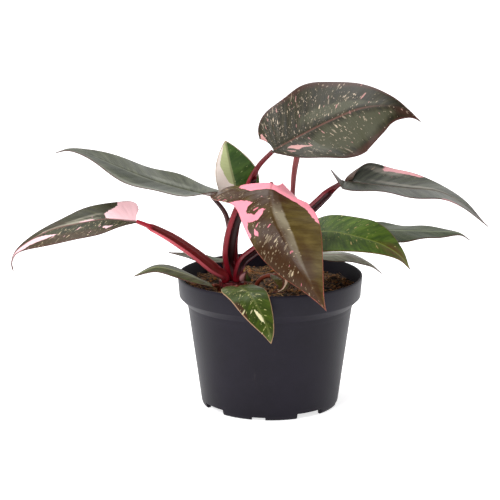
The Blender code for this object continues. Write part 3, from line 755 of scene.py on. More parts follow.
# %% The fleck group
FLECK_LEAST, FLECK_GROWTH, FLECK_SOFT_EDGE = 0.14, 0.3, 0.09
RAGGED = 0.55
fleck_group, source, result = new_group(
    "vein_flecks",
    [("Vector", VECTOR, None), ("Amount", NUMBER, 0.3), ("Width", NUMBER, 0.1), ("Length", NUMBER, 0.4),
     ("Shift", NUMBER, 0.0)],
    [("Mask", NUMBER), ("Tint", NUMBER)],
)
tree = fleck_group
parts = add(tree, "ShaderNodeSeparateXYZ", {0: source["Vector"]}).outputs
drift = calc(tree, "SUBTRACT", grain(tree, source["Vector"], 1.3), 0.5)
across = calc(tree, "DIVIDE", calc(tree, "MULTIPLY_ADD", drift, 0.25, parts[0]), source["Width"])
down = calc(tree, "DIVIDE", parts[1], source["Length"])
spot = add(tree, "ShaderNodeCombineXYZ", {0: across, 1: down, 2: source["Shift"]}).outputs[0]
ragged = add(tree, "ShaderNodeTexNoise", {"Vector": spot, "Scale": 2.2, "Detail": 2.0})
wobble = add(tree, "ShaderNodeVectorMath", {0: ragged.outputs[1], 1: (0.5, 0.5, 0.5)}, operation="SUBTRACT")
wobble = add(tree, "ShaderNodeVectorMath", {0: wobble.outputs[0], "Scale": RAGGED}, operation="SCALE")
spot = add(tree, "ShaderNodeVectorMath", {0: spot, 1: wobble.outputs[0]}).outputs[0]
cells = add(tree, "ShaderNodeTexVoronoi", {"Vector": spot, "Scale": 1.0})
chance = add(tree, "ShaderNodeSeparateColor", {0: cells.outputs["Color"]}).outputs
size = calc(tree, "MULTIPLY_ADD", calc(tree, "POWER", chance[0], 2.0), FLECK_GROWTH, FLECK_LEAST)
inner = calc(tree, "SUBTRACT", size, FLECK_SOFT_EDGE)
shape = fade(tree, cells.outputs["Distance"], size, inner)
there = calc(tree, "LESS_THAN", chance[1], source["Amount"])
tree.links.new(calc(tree, "MULTIPLY", shape, there), result.inputs["Mask"])
tree.links.new(chance[2], result.inputs["Tint"])


def flecks(tree, vector, amount, width, length, shift):
    sockets = {"Vector": vector, "Amount": amount, "Width": width, "Length": length, "Shift": shift}
    return use_group(tree, fleck_group, sockets)


# %% [markdown]
# ## Streaks and torn edges as node groups
#
# Two more effects are shared. The tissue of every leaf and stalk is streaked along its
# veins, and every pink patch, seen from above or below, has an edge torn along them.

# %% The streak group
LEAF_PULL = (3.2, 0.7, 1.0)
streak_group, source, result = new_group(
    "vein_streaks",
    [("Vector", VECTOR, None), ("Stretch", VECTOR, LEAF_PULL), ("Detail", NUMBER, 4.0)],
    [("Value", NUMBER)],
)
tree = streak_group
pulled = stretch(tree, source["Vector"], source["Stretch"])
tree.links.new(grain(tree, pulled, 1.0, source["Detail"], 0.6), result.inputs["Value"])


def vein_streaks(tree, vector, pull, detail):
    return use_group(tree, streak_group, {"Vector": vector, "Stretch": pull, "Detail": detail})[0]


# %% The torn edge group
TEAR_PULL = (7.0, 1.6, 1.0)
TEAR_EDGE = 0.12
tear_group, source, result = new_group(
    "torn_patch",
    [("Vector", VECTOR, None), ("Depth", NUMBER, 0.0), ("Tear", NUMBER, 2.0)],
    [("Mask", NUMBER)],
)
tree = tear_group
rough = grain(tree, stretch(tree, source["Vector"], TEAR_PULL), 1.0, 3.0, 0.6)
torn = calc(tree, "MULTIPLY_ADD", calc(tree, "SUBTRACT", rough, 0.5), source["Tear"], source["Depth"])
tree.links.new(fade(tree, torn, -TEAR_EDGE, TEAR_EDGE), result.inputs["Mask"])


def torn_patch(tree, vector, depth, tear):
    """1 inside a patch; its edge is torn along the veins."""
    return use_group(tree, tear_group, {"Vector": vector, "Depth": depth, "Tear": tear})[0]


# %% [markdown]
# ## The leaf tissue
#
# From below upwards: green tissue in two tones that run along the veins, paler parts, which on
# most leaves are a painted grey sheen, bronze where the leaf is young, fine pale veins, flecks in
# three sizes, the torn pink patches, the midrib and a thin red rim. All fourteen leaves are made
# of the same tissue with other colours, so it is one node group. Its inputs are the values kept
# on the blade and the colours below.

# %% Colours and amounts of a usual leaf
# The pale tone is laid on paler tissue and also serves as a painted grey sheen
LOOK = dict(
    dark=(27, 26, 8), light=(52, 49, 24), bronze=(62, 34, 24), pale=(110, 106, 84), vein=(104, 96, 72),
    cream=(206, 186, 152), pink=(226, 146, 146), pale_pink=(244, 186, 192), midrib=(104, 56, 46),
    rim=(84, 48, 42), midrib_share=0.8, rim_share=0.8, rim_wide=1.1, coarse=0.5, fine=0.6, mottle=0.35,
    tear=2.2, rough=0.4, specular=0.26, midrib_end=30.0,
)
KEPT_VALUES = {
    "patch": "patch depth", "flecks": "fleck zone", "bronze": "bronze zone", "pale": "pale zone",
    "rim": "rim distance", "rib": "rib distance",
}


def look(**changes):
    return {**LOOK, **changes}


def tissue_values(finish):
    """A look as socket values, without its shine, which is set on the shader itself."""
    values = {key: tone(*value) if isinstance(value, tuple) else value for key, value in finish.items()}
    values.pop("specular")
    return values


# %% The tissue group
HAIR_VEINS = 42.0
inputs = [("Vector", VECTOR, None)]
inputs += [(label, NUMBER, 0.0) for label in KEPT_VALUES.values()]
for key, value in tissue_values(LOOK).items():
    inputs.append((key, COLOUR if isinstance(value, tuple) else NUMBER, value))
outputs = [("Color", COLOUR), ("Roughness", NUMBER), ("Height", NUMBER)]
tissue_group, source, result = new_group("leaf_tissue", inputs, outputs)
tree = tissue_group
vector = source["Vector"]
streaks = vein_streaks(tree, vector, LEAF_PULL, 4.0)
clouds = grain(tree, vector, 0.9, 3.0, 0.55)
base = blend(tree, fade(tree, streaks, 0.32, 0.68), source["dark"], source["light"])
base = tint(tree, base, fade(tree, clouds, 0.35, 0.7), 0.5, source["dark"])
# Paler tissue, and a painted grey sheen where a glossy leaf would mirror the bright wall
pale = fade(tree, calc(tree, "MULTIPLY_ADD", streaks, 0.3, source["pale zone"]), 0.35, 0.6)
base = blend(tree, pale, base, source["pale"])
wine = calc(tree, "ADD", clouds, calc(tree, "SUBTRACT", source["bronze zone"], 0.5))
base = tint(tree, base, fade(tree, wine, 0.1, 0.75), 0.85, source["bronze"])
along = add(tree, "ShaderNodeSeparateXYZ", {0: vector}).outputs[0]
hair = calc(tree, "MULTIPLY", calc(tree, "MULTIPLY_ADD", clouds, 0.12, along), HAIR_VEINS)
hair = fade(tree, calc(tree, "SINE", hair), 0.55, 1.0)
base = tint(tree, base, hair, 0.05, source["vein"])

# %% Flecks and patches in the tissue
much = source["fleck zone"]
haze = flecks(tree, vector, calc(tree, "MULTIPLY", much, source["mottle"]), 0.16, 0.8, 5.0)
base = tint(tree, base, haze[0], 0.28, source["cream"])
fine = flecks(tree, vector, calc(tree, "MULTIPLY", much, source["fine"]), 0.06, 0.2, 8.0)
base = tint(tree, base, fine[0], 0.55, source["cream"])
coarse = flecks(tree, vector, calc(tree, "MULTIPLY", much, source["coarse"]), 0.13, 0.5, 3.0)
fleck_colour = blend(tree, fade(tree, coarse[1], 0.4, 0.8), source["cream"], source["pink"])
base = tint(tree, base, coarse[0], 0.75, fleck_colour)
patch = torn_patch(tree, vector, source["patch depth"], source["tear"])
base = blend(tree, patch, base, blend(tree, clouds, source["pink"], source["pale_pink"]))

# %% Midrib, rim and surface of the tissue
MIDRIB_FADE = 2.5
midrib = fade(tree, source["rib distance"], 1.0, 0.35)
gone = calc(tree, "ADD", source["midrib_end"], MIDRIB_FADE)
midrib = calc(tree, "MULTIPLY", midrib, fade(tree, along, gone, source["midrib_end"]))
base = tint(tree, base, midrib, source["midrib_share"], source["midrib"])
edge = calc(tree, "MULTIPLY_ADD", streaks, 0.8, source["rim distance"])
edge = fade(tree, edge, source["rim_wide"], calc(tree, "MULTIPLY", source["rim_wide"], 0.5))
base = tint(tree, base, edge, source["rim_share"], source["rim"])
skin = grain(tree, vector, 38.0, 2.0)
gloss = calc(tree, "MULTIPLY_ADD", skin, 0.1, calc(tree, "SUBTRACT", source["rough"], 0.05))
gloss = calc(tree, "MULTIPLY_ADD", patch, 0.08, gloss)
height = calc(tree, "MULTIPLY_ADD", hair, 0.35, calc(tree, "MULTIPLY", skin, 0.5))
height = calc(tree, "MULTIPLY_ADD", streaks, 0.8, height)
for value, label in ((base, "Color"), (gloss, "Roughness"), (height, "Height")):
    tree.links.new(value, result.inputs[label])
print("nodes in the tissue group:", len(tree.nodes))

# %% [markdown]
# ## Upper side of a leaf
#
# Each material places the tissue group, feeds it from its own blade and adds the shine.
# The leaves that lie flat under the lights are glossier, and the green ones duller.

# %% Leaf material
def keep(tree, name):
    return add(tree, "ShaderNodeAttribute", attribute_name=name).outputs["Fac"]


def leaf_material(name, finish):
    material, tree, shader = new_material(name)
    sockets = {"Vector": add(tree, "ShaderNodeUVMap").outputs[0], **tissue_values(finish)}
    for kept, label in KEPT_VALUES.items():
        sockets[label] = keep(tree, kept)
    tissue = use_group(tree, tissue_group, sockets)
    tree.links.new(tissue["Color"], shader.inputs["Base Color"])
    tree.links.new(tissue["Roughness"], shader.inputs["Roughness"])
    shader.inputs["Specular IOR Level"].default_value = finish["specular"]
    bump(tree, shader, tissue["Height"], 0.35, 0.00025)
    return material


# %% Looks of the fourteen leaves
# The pale tone of upright is its cream tissue; on the other leaves it is a painted grey sheen
LOOKS = dict(
    top=look(dark=(24, 22, 6), light=(52, 47, 22), pale=(66, 66, 46), cream=(212, 190, 164),
             pink=(196, 140, 134), pale_pink=(192, 148, 144), fine=0.7, midrib=(96, 60, 48), midrib_end=7.0),
    right=look(dark=(36, 40, 26), light=(82, 86, 66), pale=(124, 120, 108), rough=0.34, specular=0.5,
               midrib_share=0.4),
    front=look(dark=(68, 53, 14), light=(100, 84, 41), bronze=(54, 22, 0), pale=(138, 128, 106),
               midrib=(84, 60, 30), pink=(250, 138, 156), pale_pink=(252, 158, 172), rough=0.3,
               specular=0.22, rim=(176, 92, 76), midrib_share=0.35, rim_wide=0.75),
    upper_left=look(dark=(42, 48, 27), light=(84, 88, 64), bronze=(34, 42, 18), pale=(112, 115, 100),
                    rough=0.34, specular=0.4, midrib=(80, 82, 60), midrib_share=0.3),
    lower_left=look(dark=(34, 36, 18), light=(68, 68, 42), bronze=(68, 50, 28), pale=(146, 142, 124),
                    pink=(244, 192, 198), pale_pink=(250, 210, 214), coarse=0.65),
    upright=look(dark=(38, 64, 14), light=(66, 94, 32), pale=(192, 200, 146), cream=(168, 184, 120),
                 pink=(254, 238, 226), pale_pink=(255, 244, 234), midrib=(136, 140, 96), rim=(190, 170, 150)),
    right_mid=look(dark=(52, 80, 8), light=(98, 128, 34), bronze=(104, 76, 34), cream=(206, 200, 116),
                   pink=(220, 190, 120), midrib=(130, 144, 60), rim=(112, 80, 50), midrib_end=6.0),
    right_back=look(dark=(40, 52, 24), light=(68, 78, 44), midrib=(110, 120, 82)),
    right_low=look(dark=(136, 142, 120), light=(172, 176, 152)),
    rim_left=look(dark=(40, 48, 12), light=(72, 78, 26), midrib=(136, 140, 90)),
    back_left=look(dark=(60, 72, 46), light=(84, 94, 66)),
    rim_front=look(dark=(40, 54, 4), light=(68, 86, 14), cream=(214, 208, 140), pink=(222, 214, 164),
                   pale_pink=(228, 222, 182), rim=(180, 140, 106), midrib=(110, 116, 60), midrib_share=0.4,
                   rim_wide=0.9, coarse=0.65),
    young_front=look(dark=(50, 50, 4), light=(96, 98, 22), bronze=(70, 52, 12), pink=(214, 150, 140),
                     pale_pink=(206, 190, 160)),
    tiny=look(dark=(60, 80, 40), light=(90, 110, 60)),
)

# %% [markdown]
# ## The underside
#
# Below, a leaf is paler and duller, flushed with wine red, and the veins stand out. The
# upper material could serve twice, but then a leaf would be as dark from below as from
# above. The patches go through the whole blade, so the underside reads the same kept values.

# %% Underside of a leaf
OLIVE, PALE_OLIVE, WINE = (92, 84, 68), (120, 112, 92), (118, 72, 66)
RAISED_VEIN, PATCH_BELOW, MIDRIB_BELOW = (158, 130, 112), (226, 170, 174), (140, 70, 66)
VEIN_WAVES = 8.38


def underside_material():
    material, tree, shader = new_material("leaf_underside")
    vector = add(tree, "ShaderNodeUVMap").outputs[0]
    streaks = vein_streaks(tree, vector, (2.6, 0.6, 1.0), 3.0)
    base = blend(tree, fade(tree, streaks, 0.3, 0.7), tone(*OLIVE), tone(*PALE_OLIVE))
    flush = grain(tree, vector, 0.5, 2.0)
    base = tint(tree, base, fade(tree, flush, 0.35, 0.7), 0.5, tone(*WINE))
    along = add(tree, "ShaderNodeSeparateXYZ", {0: vector}).outputs[0]
    lateral = calc(tree, "SINE", calc(tree, "MULTIPLY", along, VEIN_WAVES))
    lateral = fade(tree, calc(tree, "ABSOLUTE", lateral), 0.1, 0.0)
    base = tint(tree, base, lateral, 0.45, tone(*RAISED_VEIN))
    patch = torn_patch(tree, vector, keep(tree, "patch"), 1.8)
    base = tint(tree, base, patch, 0.9, tone(*PATCH_BELOW))
    midrib = fade(tree, keep(tree, "rib"), 1.6, 0.7)
    base = tint(tree, base, midrib, 0.9, tone(*MIDRIB_BELOW))
    tree.links.new(base, shader.inputs["Base Color"])
    shader.inputs["Roughness"].default_value = 0.52
    skin = grain(tree, vector, 30.0, 2.0)
    bump(tree, shader, calc(tree, "MULTIPLY_ADD", lateral, 2.0, skin), 0.3, 0.0003)
    return material


# %% Make the leaves
underside = underside_material()
SLOTS = dict(front="bronze_leaf", tiny="pale_leaf")
for name in ("upright", "right_mid", "rim_left", "back_left", "rim_front", "young_front"):
    SLOTS[name] = "green_leaf"
for name, leaf in LEAVES.items():
    slot = SLOTS.get(name, "olive_leaf")
    finish = [leaf_material(f"{name}_leaf", LOOKS[name]), underside]
    item = finish_piece(f"{name}_leaf", blade(name, leaf), finish, slot, f"{name}_blade")
    shell = item.modifiers.new("thickness", "SOLIDIFY")
    shell.thickness = BLADE_THICKNESS * MM
    shell.offset = 0.0
    shell.material_offset = 1
    print(name, "faces:", len(item.data.polygons))

# %% [markdown]
# ## Stalks
#
# A thick leaf stalk of this plant is a gutter: its two edges stand up as thin wings and end
# in small points, and above them the stalk is round and thin. Three stalks have it here. A
# stalk is one sheet rolled into a tube, whose upper half is pressed in where the wings are.
# The inside of the gutter is painted darker, as shade in the channel.

# %% Stalk forms
STALK_END_GAP = 0.3
STALK_COLUMNS, STALK_ROWS, FINE_POINTS = 40, 120, 200
STALK_RIDGES, RIDGE_HEIGHT = 9, 0.02
WING_RISE, GUTTER_DEPTH = 0.75, 0.35
PLAIN_FACING = (0.0, -1.0, 0.3)
# Where the wings end along the stalk, and which way the gutter faces
SHEATHS = dict(
    top=(0.79, (0.9, -0.6, 0.4)),
    right=(0.92, (0.5, -0.75, -0.2)),
    lower_left=(0.87, (0.2, -0.7, 0.8)),
)


def rolled_points(points, girth, facing, sheath, a, b, end_gap):
    fine, length = smooth_path(points, FINE_POINTS)
    kept = round(len(fine) * (1 - end_gap / length))
    path, length = resample(fine[:kept], STALK_ROWS)
    along, face, side = path_frames(path, facing, facing)
    run = np.linspace(0.0, 1.0, len(path))
    stations, widths, depths = zip(*girth)
    w = np.interp(b, stations, widths)
    d = np.interp(b, stations, depths)
    turn = 2 * np.pi * a - np.pi / 2
    c = np.abs(np.cos(turn))
    round_up = np.sin(turn)
    lip = WING_RISE * np.sin(np.pi * np.clip((c - 0.5) / 0.5, 0, 1))
    gutter = lip - GUTTER_DEPTH * (1 - np.clip(c / 0.75, 0, 1) ** 2)
    gate = np.clip(np.minimum((b - 0.02) / 0.1, (sheath - b) / 0.05), 0, 1) if sheath else 0 * b
    up = np.where(round_up > 0, (1 - gate) * round_up + gate * gutter, round_up)
    place = read_at(path, run, b)
    out, rise = read_at(side, run, b), read_at(face, run, b)
    ridges = 1 + RIDGE_HEIGHT * np.sin(turn * STALK_RIDGES)
    points = place + out * (w * np.cos(turn) * ridges)[:, None] + rise * (d * up * ridges)[:, None]
    # Where the gutter's inside lies; the skin paints it darker there, as shade
    inside = np.where(round_up > 0, gate * np.clip((0.86 - c) / 0.15, 0, 1), 0.0)
    wing = np.where(round_up > -0.25, gate * np.clip((c - 0.7) / 0.2, 0, 1), 0.0)
    uvs = np.stack([a * 2.2, b * length / 10], axis=1)
    return points, uvs, dict(inside=inside, wing=wing, climb=b)


def stalk_tube(points, girth, facing=PLAIN_FACING, sheath=0.0, end_gap=STALK_END_GAP):
    def place(a, b):
        return rolled_points(points, girth, facing, sheath, a, b, end_gap)

    work = sheet(STALK_COLUMNS, STALK_ROWS, place)
    rims = [edge for edge in work.edges if edge.is_boundary]
    bmesh.ops.holes_fill(work, edges=rims, sides=0)
    bmesh.ops.recalc_face_normals(work, faces=work.faces)
    return work


# %% The stalk skin group
# The gutter tone is painted shade for the inside of the channel
STALK_TONE_NAMES = ("dark", "bright", "gutter", "wing tone", "foot")
STALK_KEPT = ("inside", "wing", "climb")
SPECK = (214, 120, 130)
inputs = [("Vector", VECTOR, None)]
inputs += [(label, NUMBER, 0.0) for label in STALK_KEPT]
inputs += [(label, COLOUR, None) for label in STALK_TONE_NAMES]
outputs = [("Color", COLOUR), ("Height", NUMBER)]
stalk_group, source, result = new_group("stalk_skin", inputs, outputs)
tree = stalk_group
lines = vein_streaks(tree, source["Vector"], (9.0, 0.45, 1.0), 3.0)
base = blend(tree, fade(tree, lines, 0.35, 0.68), source["dark"], source["bright"])
low = calc(tree, "MULTIPLY_ADD", lines, 0.1, source["climb"])
base = tint(tree, base, fade(tree, low, 0.42, 0.2), 0.85, source["foot"])
# Painted shade: the inside of the gutter takes the darker gutter tone
base = blend(tree, source["inside"], base, blend(tree, lines, source["gutter"], source["dark"]))
base = tint(tree, base, source["wing"], 0.8, source["wing tone"])
specks = flecks(tree, source["Vector"], 0.12, 0.12, 0.5, 2.0)
base = tint(tree, base, specks[0], 0.3, tone(*SPECK))
tree.links.new(base, result.inputs["Color"])
tree.links.new(lines, result.inputs["Height"])


# %% Stalk material
def stalk_material(name, dark, bright, gutter, wing, foot=(118, 8, 24)):
    material, tree, shader = new_material(name)
    sockets = {"Vector": add(tree, "ShaderNodeUVMap").outputs[0]}
    for label in STALK_KEPT:
        sockets[label] = keep(tree, label)
    for label, colour in zip(STALK_TONE_NAMES, (dark, bright, gutter, wing, foot)):
        sockets[label] = tone(*colour)
    skin = use_group(tree, stalk_group, sockets)
    tree.links.new(skin["Color"], shader.inputs["Base Color"])
    shader.inputs["Roughness"].default_value = 0.36
    shader.inputs["Specular IOR Level"].default_value = 0.35
    bump(tree, shader, skin["Height"], 0.35, 0.0003)
    return material


# %% Make the stalks
# Per stalk: dark and bright streak tones, the gutter tone, which is painted shade, and the wing tone
STALK_TONES = dict(
    top=((74, 2, 8), (120, 8, 22), (40, 6, 8), (150, 26, 42)),
    right=((76, 10, 18), (108, 20, 32), (44, 12, 14), (130, 30, 42)),
    front=((116, 10, 24), (150, 24, 40), (60, 20, 26), (160, 42, 58)),
    upper_left=((50, 22, 22), (86, 44, 42), (52, 22, 26), (120, 60, 66)),
    lower_left=((128, 14, 28), (180, 44, 60), (84, 36, 22), (224, 104, 114)),
)
PLAIN_STALK = ((86, 36, 22), (134, 62, 42), (60, 30, 26), (150, 80, 70))
for name, leaf in LEAVES.items():
    sheath, facing = SHEATHS.get(name, (0.0, PLAIN_FACING))
    finish = stalk_material(f"{name}_stalk", *STALK_TONES.get(name, PLAIN_STALK))
    work = stalk_tube(leaf["stalk"], leaf["girth"], facing, sheath)
    finish_piece(f"{name}_petiole", work, [finish], "stalk", f"{name}_stalk")
print("stalks:", len(LEAVES))

# %% [markdown]
# ## The rolled new leaf
#
# The second shoot holds a leaf that hasn't opened: a tight roll, pink and brown in stripes.
# A sheet wound up on itself would be truer inside, but only its outside shows. So it is the
# same tube as a stalk, with a spear's girth.

# %% Rolled leaf
ROLL = [(14.5, 21.5, 82), (13.5, 22, 92), (12.5, 22, 107), (14.5, 20, 127), (15.5, 19, 146),
        (17.5, 17, 160), (21, 14, 179), (24, 11, 192)]
ROLL_GIRTH = [(0, 1.7, 1.7), (0.5, 1.6, 1.6), (0.7, 2.0, 2.0), (0.9, 1.4, 1.4), (1, 0.4, 0.4)]
finish = stalk_material("rolled_leaf", (120, 44, 50), (184, 96, 96), (90, 40, 40), (180, 90, 90))
work = stalk_tube(ROLL, ROLL_GIRTH, end_gap=0.0)
roll = finish_piece("rolled_leaf_piece", work, [finish], "stalk", "rolled_leaf")
print("rolled leaf faces:", len(roll.data.polygons))

# %% [markdown]
# ## The crown and the second shoot
#
# Where the stalks meet, the stem is a short knob wrapped in old leaf bases. A turned shape
# with rings of swellings shows that better than a smooth peg.

# %% Crowns
# The soil has no crumbs nearer than `bare` to a knob's axis
KNOBS = dict(
    crown=dict(node="crown", at=(-24.5, 0.5), radius=8.5, top=81.3, foot=56.0, bare=8.0),
    shoot=dict(node="second_shoot", at=(17.5, 18.5), radius=5.6, top=81.3, foot=60.0, bare=5.5),
)
SWELLING, SWELLINGS = 0.05, 5
KNOB_GRID = (64, 40)


def knob_piece(name, knob):
    (x, y), radius, top, foot = knob["at"], knob["radius"], knob["top"], knob["foot"]

    def place(a, b):
        turn = 2 * np.pi * a
        height = foot + (top - foot) * np.sin(np.pi / 2 * np.clip(b * 1.15, 0, 1))
        closing = np.clip((b - 0.82) / 0.18, 0, 1)
        bulge = 1 + SWELLING * np.sin(SWELLINGS * turn + 7 * b) * (1 - closing)
        r = radius * np.clip(b * 6, 0.001, 1) * np.cos(np.pi / 2 * closing) * bulge * 0.97
        points = np.stack([x + r * np.cos(turn), y + r * np.sin(turn), height], axis=1)
        uvs = np.stack([a * 4, b * 2.5], axis=1)
        return points, uvs, dict(inside=0 * a, wing=0 * a, climb=b)

    work = sheet(*KNOB_GRID, place)
    bmesh.ops.recalc_face_normals(work, faces=work.faces)
    finish = stalk_material(name, (70, 26, 28), (128, 44, 50), (60, 30, 26), (120, 60, 50))
    finish_piece(name, work, [finish], "stem", knob["node"])


for name, knob in KNOBS.items():
    knob_piece(f"{name}_knob", knob)
print("knobs:", list(KNOBS))

# %% [markdown]
# ## The pot
#
# A nursery pot is one thin wall of black plastic, turned about its axis: a `spin` of its
# outline makes it. The band under the lip, the fine ring below it, the foot ring and the
# drain holes are all real features of its mould.

# %% Pot outline
POT_HEIGHT, LIP_RADIUS, BAND_FOOT_RADIUS, BASE_RADIUS = 86.0, 60.0, 59.0, 44.5
WALL, WALL_DRAFT, FLOOR_Z, PAD_RADIUS, RING_Z = 1.2, 0.1375, 4.2, 20.0, 64.3
RING_STEP = 0.08


def body_radius(z):
    return BASE_RADIUS + WALL_DRAFT * z


def wall_point(z, step=0.0):
    return (body_radius(z) + step, z)


inside = [
    (0.0, WALL), (17.5, WALL), (19.0, 3.2), (19.5, 5.4), wall_point(5.4, -2.2),
    (body_radius(6.0) - 1.5, 5.9), wall_point(6.9, -WALL), (body_radius(67) - WALL, 67.5),
    (BAND_FOOT_RADIUS - WALL - 0.3, 72.2), (BAND_FOOT_RADIUS - WALL, 72.9), (LIP_RADIUS - WALL, 85.4),
]
lip_and_band = [
    (LIP_RADIUS - WALL + 0.2, 85.85), (LIP_RADIUS - 0.6, POT_HEIGHT), (LIP_RADIUS - 0.2, 85.85),
    (LIP_RADIUS, 85.4), (LIP_RADIUS - 0.05, 84.0), (BAND_FOOT_RADIUS + 0.05, 72.6),
    (BAND_FOOT_RADIUS - 0.3, 72.0), (body_radius(67.3) + 0.25, 67.4), (body_radius(67.0) + RING_STEP, 67.1),
]
ring = [
    wall_point(66.7, RING_STEP), wall_point(RING_Z + 0.6, RING_STEP), wall_point(RING_Z + 0.3, RING_STEP),
    (body_radius(RING_Z), RING_Z - 0.2), wall_point(RING_Z - 0.6), wall_point(RING_Z - 1.5),
]
foot = [
    wall_point(5.6), wall_point(4.2), wall_point(3.0), wall_point(1.5, -0.1), (BASE_RADIUS - 0.3, 0.5),
    (BASE_RADIUS - 1.1, 0.0), (BASE_RADIUS - 3.0, 0.0), (BASE_RADIUS - 3.5, FLOOR_Z),
    (PAD_RADIUS + 1.5, FLOOR_Z), (PAD_RADIUS, 0.0), (0.0, 0.0),
]


# %% Turn the pot
POT_STEPS = 160


def turned(outline, steps):
    """An outline of (radius, height) turned once about the pot's axis."""
    work = bmesh.new()
    points = [work.verts.new(Vector((r, 0.0, z)) * MM) for r, z in outline]
    lines = [work.edges.new(pair) for pair in zip(points, points[1:])]
    bmesh.ops.spin(
        work, geom=points + lines, axis=(0, 0, 1), cent=(0, 0, 0), steps=steps, angle=2 * math.pi,
        use_merge=True,
    )
    bmesh.ops.remove_doubles(work, verts=work.verts, dist=MERGE * MM)
    bmesh.ops.recalc_face_normals(work, faces=work.faces)
    return work


pot_shape = turned(inside + lip_and_band + ring + foot, POT_STEPS)
print("pot outline points:", len(inside + lip_and_band + ring + foot))


# %% Pot material
DARK_PLASTIC, PLASTIC, DUST = (17, 13, 24), (24, 20, 32), (86, 78, 70)


def pot_material():
    material, tree, shader = new_material("black_plastic")
    place = add(tree, "ShaderNodeTexCoord").outputs["Object"]
    cloud = grain(tree, place, 28.0, 4.0, 0.6)
    base = blend(tree, fade(tree, cloud, 0.3, 0.7), tone(*DARK_PLASTIC), tone(*PLASTIC))
    dust = grain(tree, stretch(tree, place, (60.0, 60.0, 14.0)), 3.0, 6.0, 0.7)
    base = tint(tree, base, fade(tree, dust, 0.62, 0.8), 0.1, tone(*DUST))
    tree.links.new(base, shader.inputs["Base Color"])
    fine = grain(tree, place, 900.0, 3.0)
    gloss = calc(tree, "MULTIPLY_ADD", cloud, 0.12, 0.42)
    tree.links.new(gloss, shader.inputs["Roughness"])
    shader.inputs["Specular IOR Level"].default_value = 0.18
    bump(tree, shader, fine, 0.25, 0.0002)
    return material


pot = finish_piece("nursery_pot", pot_shape, [pot_material()], "pot", "pot")

# %% [markdown]
# ## Notches and drain holes
#
# The foot ring has gaps that let water out from under the pot, and its floor has holes.
# They could be left out of the turned wall face by face, but a boolean cuts them cleanly: it
# takes the shape of one object out of another. The cutters are deleted after the cut.

# %% Cutters
def cutter(name, work):
    item = mesh_object(name, work)
    hole = pot.modifiers.new(name, "BOOLEAN")
    hole.object = item
    hole.solver = "EXACT"
    return item


def bake_modifiers(item):
    ready = item.evaluated_get(bpy.context.evaluated_depsgraph_get())
    mesh = bpy.data.meshes.new_from_object(ready)
    item.modifiers.clear()
    item.data = mesh


# %% Notches
# Azimuth in degrees, span and height in millimetres; they repeat in each quarter
WIDE_NOTCH, SMALL_NOTCH = (35.0, 19.0, 3.6), (-10.0, 9.0, 2.0)
QUARTERS = 4
NOTCH_DEPTH = 12
BELOW_FOOT = 2
work = bmesh.new()
for quarter in range(QUARTERS):
    for azimuth, span, height in (WIDE_NOTCH, SMALL_NOTCH):
        angle = math.radians(azimuth + 90 * quarter)
        centre = Vector((math.sin(angle), -math.cos(angle), 0)) * BASE_RADIUS
        centre += Vector((0, 0, height / 2 - BELOW_FOOT / 2))
        size = Matrix.Diagonal((span * MM, NOTCH_DEPTH * MM, (height + BELOW_FOOT) * MM, 1))
        at = Matrix.Translation(centre * MM) @ Matrix.Rotation(angle, 4, "Z") @ size
        bmesh.ops.create_cube(work, size=1.0, matrix=at)
notch_cutter = cutter("notch_cutter", work)

# %% Drain holes
DRAIN_COUNT, DRAIN_RADIUS, DRAIN_RING, DRAIN_CUT = 8, 4.0, 31.0, 20.0
work = bmesh.new()
for index in range(DRAIN_COUNT):
    angle = 2 * math.pi * (index + 0.5) / DRAIN_COUNT
    centre = Vector((math.cos(angle) * DRAIN_RING, math.sin(angle) * DRAIN_RING, FLOOR_Z))
    bmesh.ops.create_cone(
        work, cap_ends=True, segments=32, radius1=DRAIN_RADIUS * MM, radius2=DRAIN_RADIUS * MM,
        depth=DRAIN_CUT * MM, matrix=Matrix.Translation(centre * MM),
    )
drain_cutter = cutter("drain_cutter", work)
bake_modifiers(pot)
for item in (notch_cutter, drain_cutter):
    bpy.data.objects.remove(item)
print("pot faces:", len(pot.data.polygons))

# %% [markdown]
# ## The soil
#
# Potting soil is coir and peat: dark crumbs, rusty bits of bark and loose fibres. A turned
# plug that fills the pot carries them. Its top is moved up and down by two sizes of noise,
# as a flat one with a bump map would look poured.

# %% Soil body
SOIL_Z, SOIL_FOOT, SOIL_SINK = 78.0, 7.5, 0.8
SOIL_STEPS, SOIL_RINGS, SOIL_RING_GAP = 180, 28, 2.0
LUMP_SCALE, LUMP_HEIGHT = 0.11, 1.3
GRAIN_SCALE, GRAIN_HEIGHT = 0.5, 0.7
WALL_DIP_START, WALL_DIP_WIDTH, WALL_DIP = 46, 12, 1.2
SEED = 7
random.seed(SEED)
noise.seed_set(SEED)


def soil_height(x, y):
    lumps = LUMP_HEIGHT * noise.noise(Vector((x * LUMP_SCALE, y * LUMP_SCALE, 0.3)))
    grains = GRAIN_HEIGHT * noise.noise(Vector((x * GRAIN_SCALE, y * GRAIN_SCALE, 1.7)))
    near_wall = max(0.0, (math.hypot(x, y) - WALL_DIP_START) / WALL_DIP_WIDTH)
    return SOIL_Z - SOIL_SINK + lumps + grains - WALL_DIP * near_wall


top = [(SOIL_RING_GAP * index, SOIL_Z) for index in range(SOIL_RINGS + 1)]
side = [(57.6, SOIL_Z - 1.5), (57.3, 73.0), (52.0, 66.9), (43.9, SOIL_FOOT), (0.0, SOIL_FOOT)]
soil_shape = turned(top + side, SOIL_STEPS)
top_reach = SOIL_RING_GAP * (SOIL_RINGS + 0.5)
for vert in soil_shape.verts:
    x, y, z = vert.co / MM
    if z > SOIL_Z - 0.1 and math.hypot(x, y) < top_reach:
        vert.co.z = soil_height(x, y) * MM
print("soil points:", len(soil_shape.verts))

# %% [markdown]
# The soil and everything loose on it share one grit: crumbs in two tones and bits of a
# third. It is a node group too, so each of them only says which colours it has.

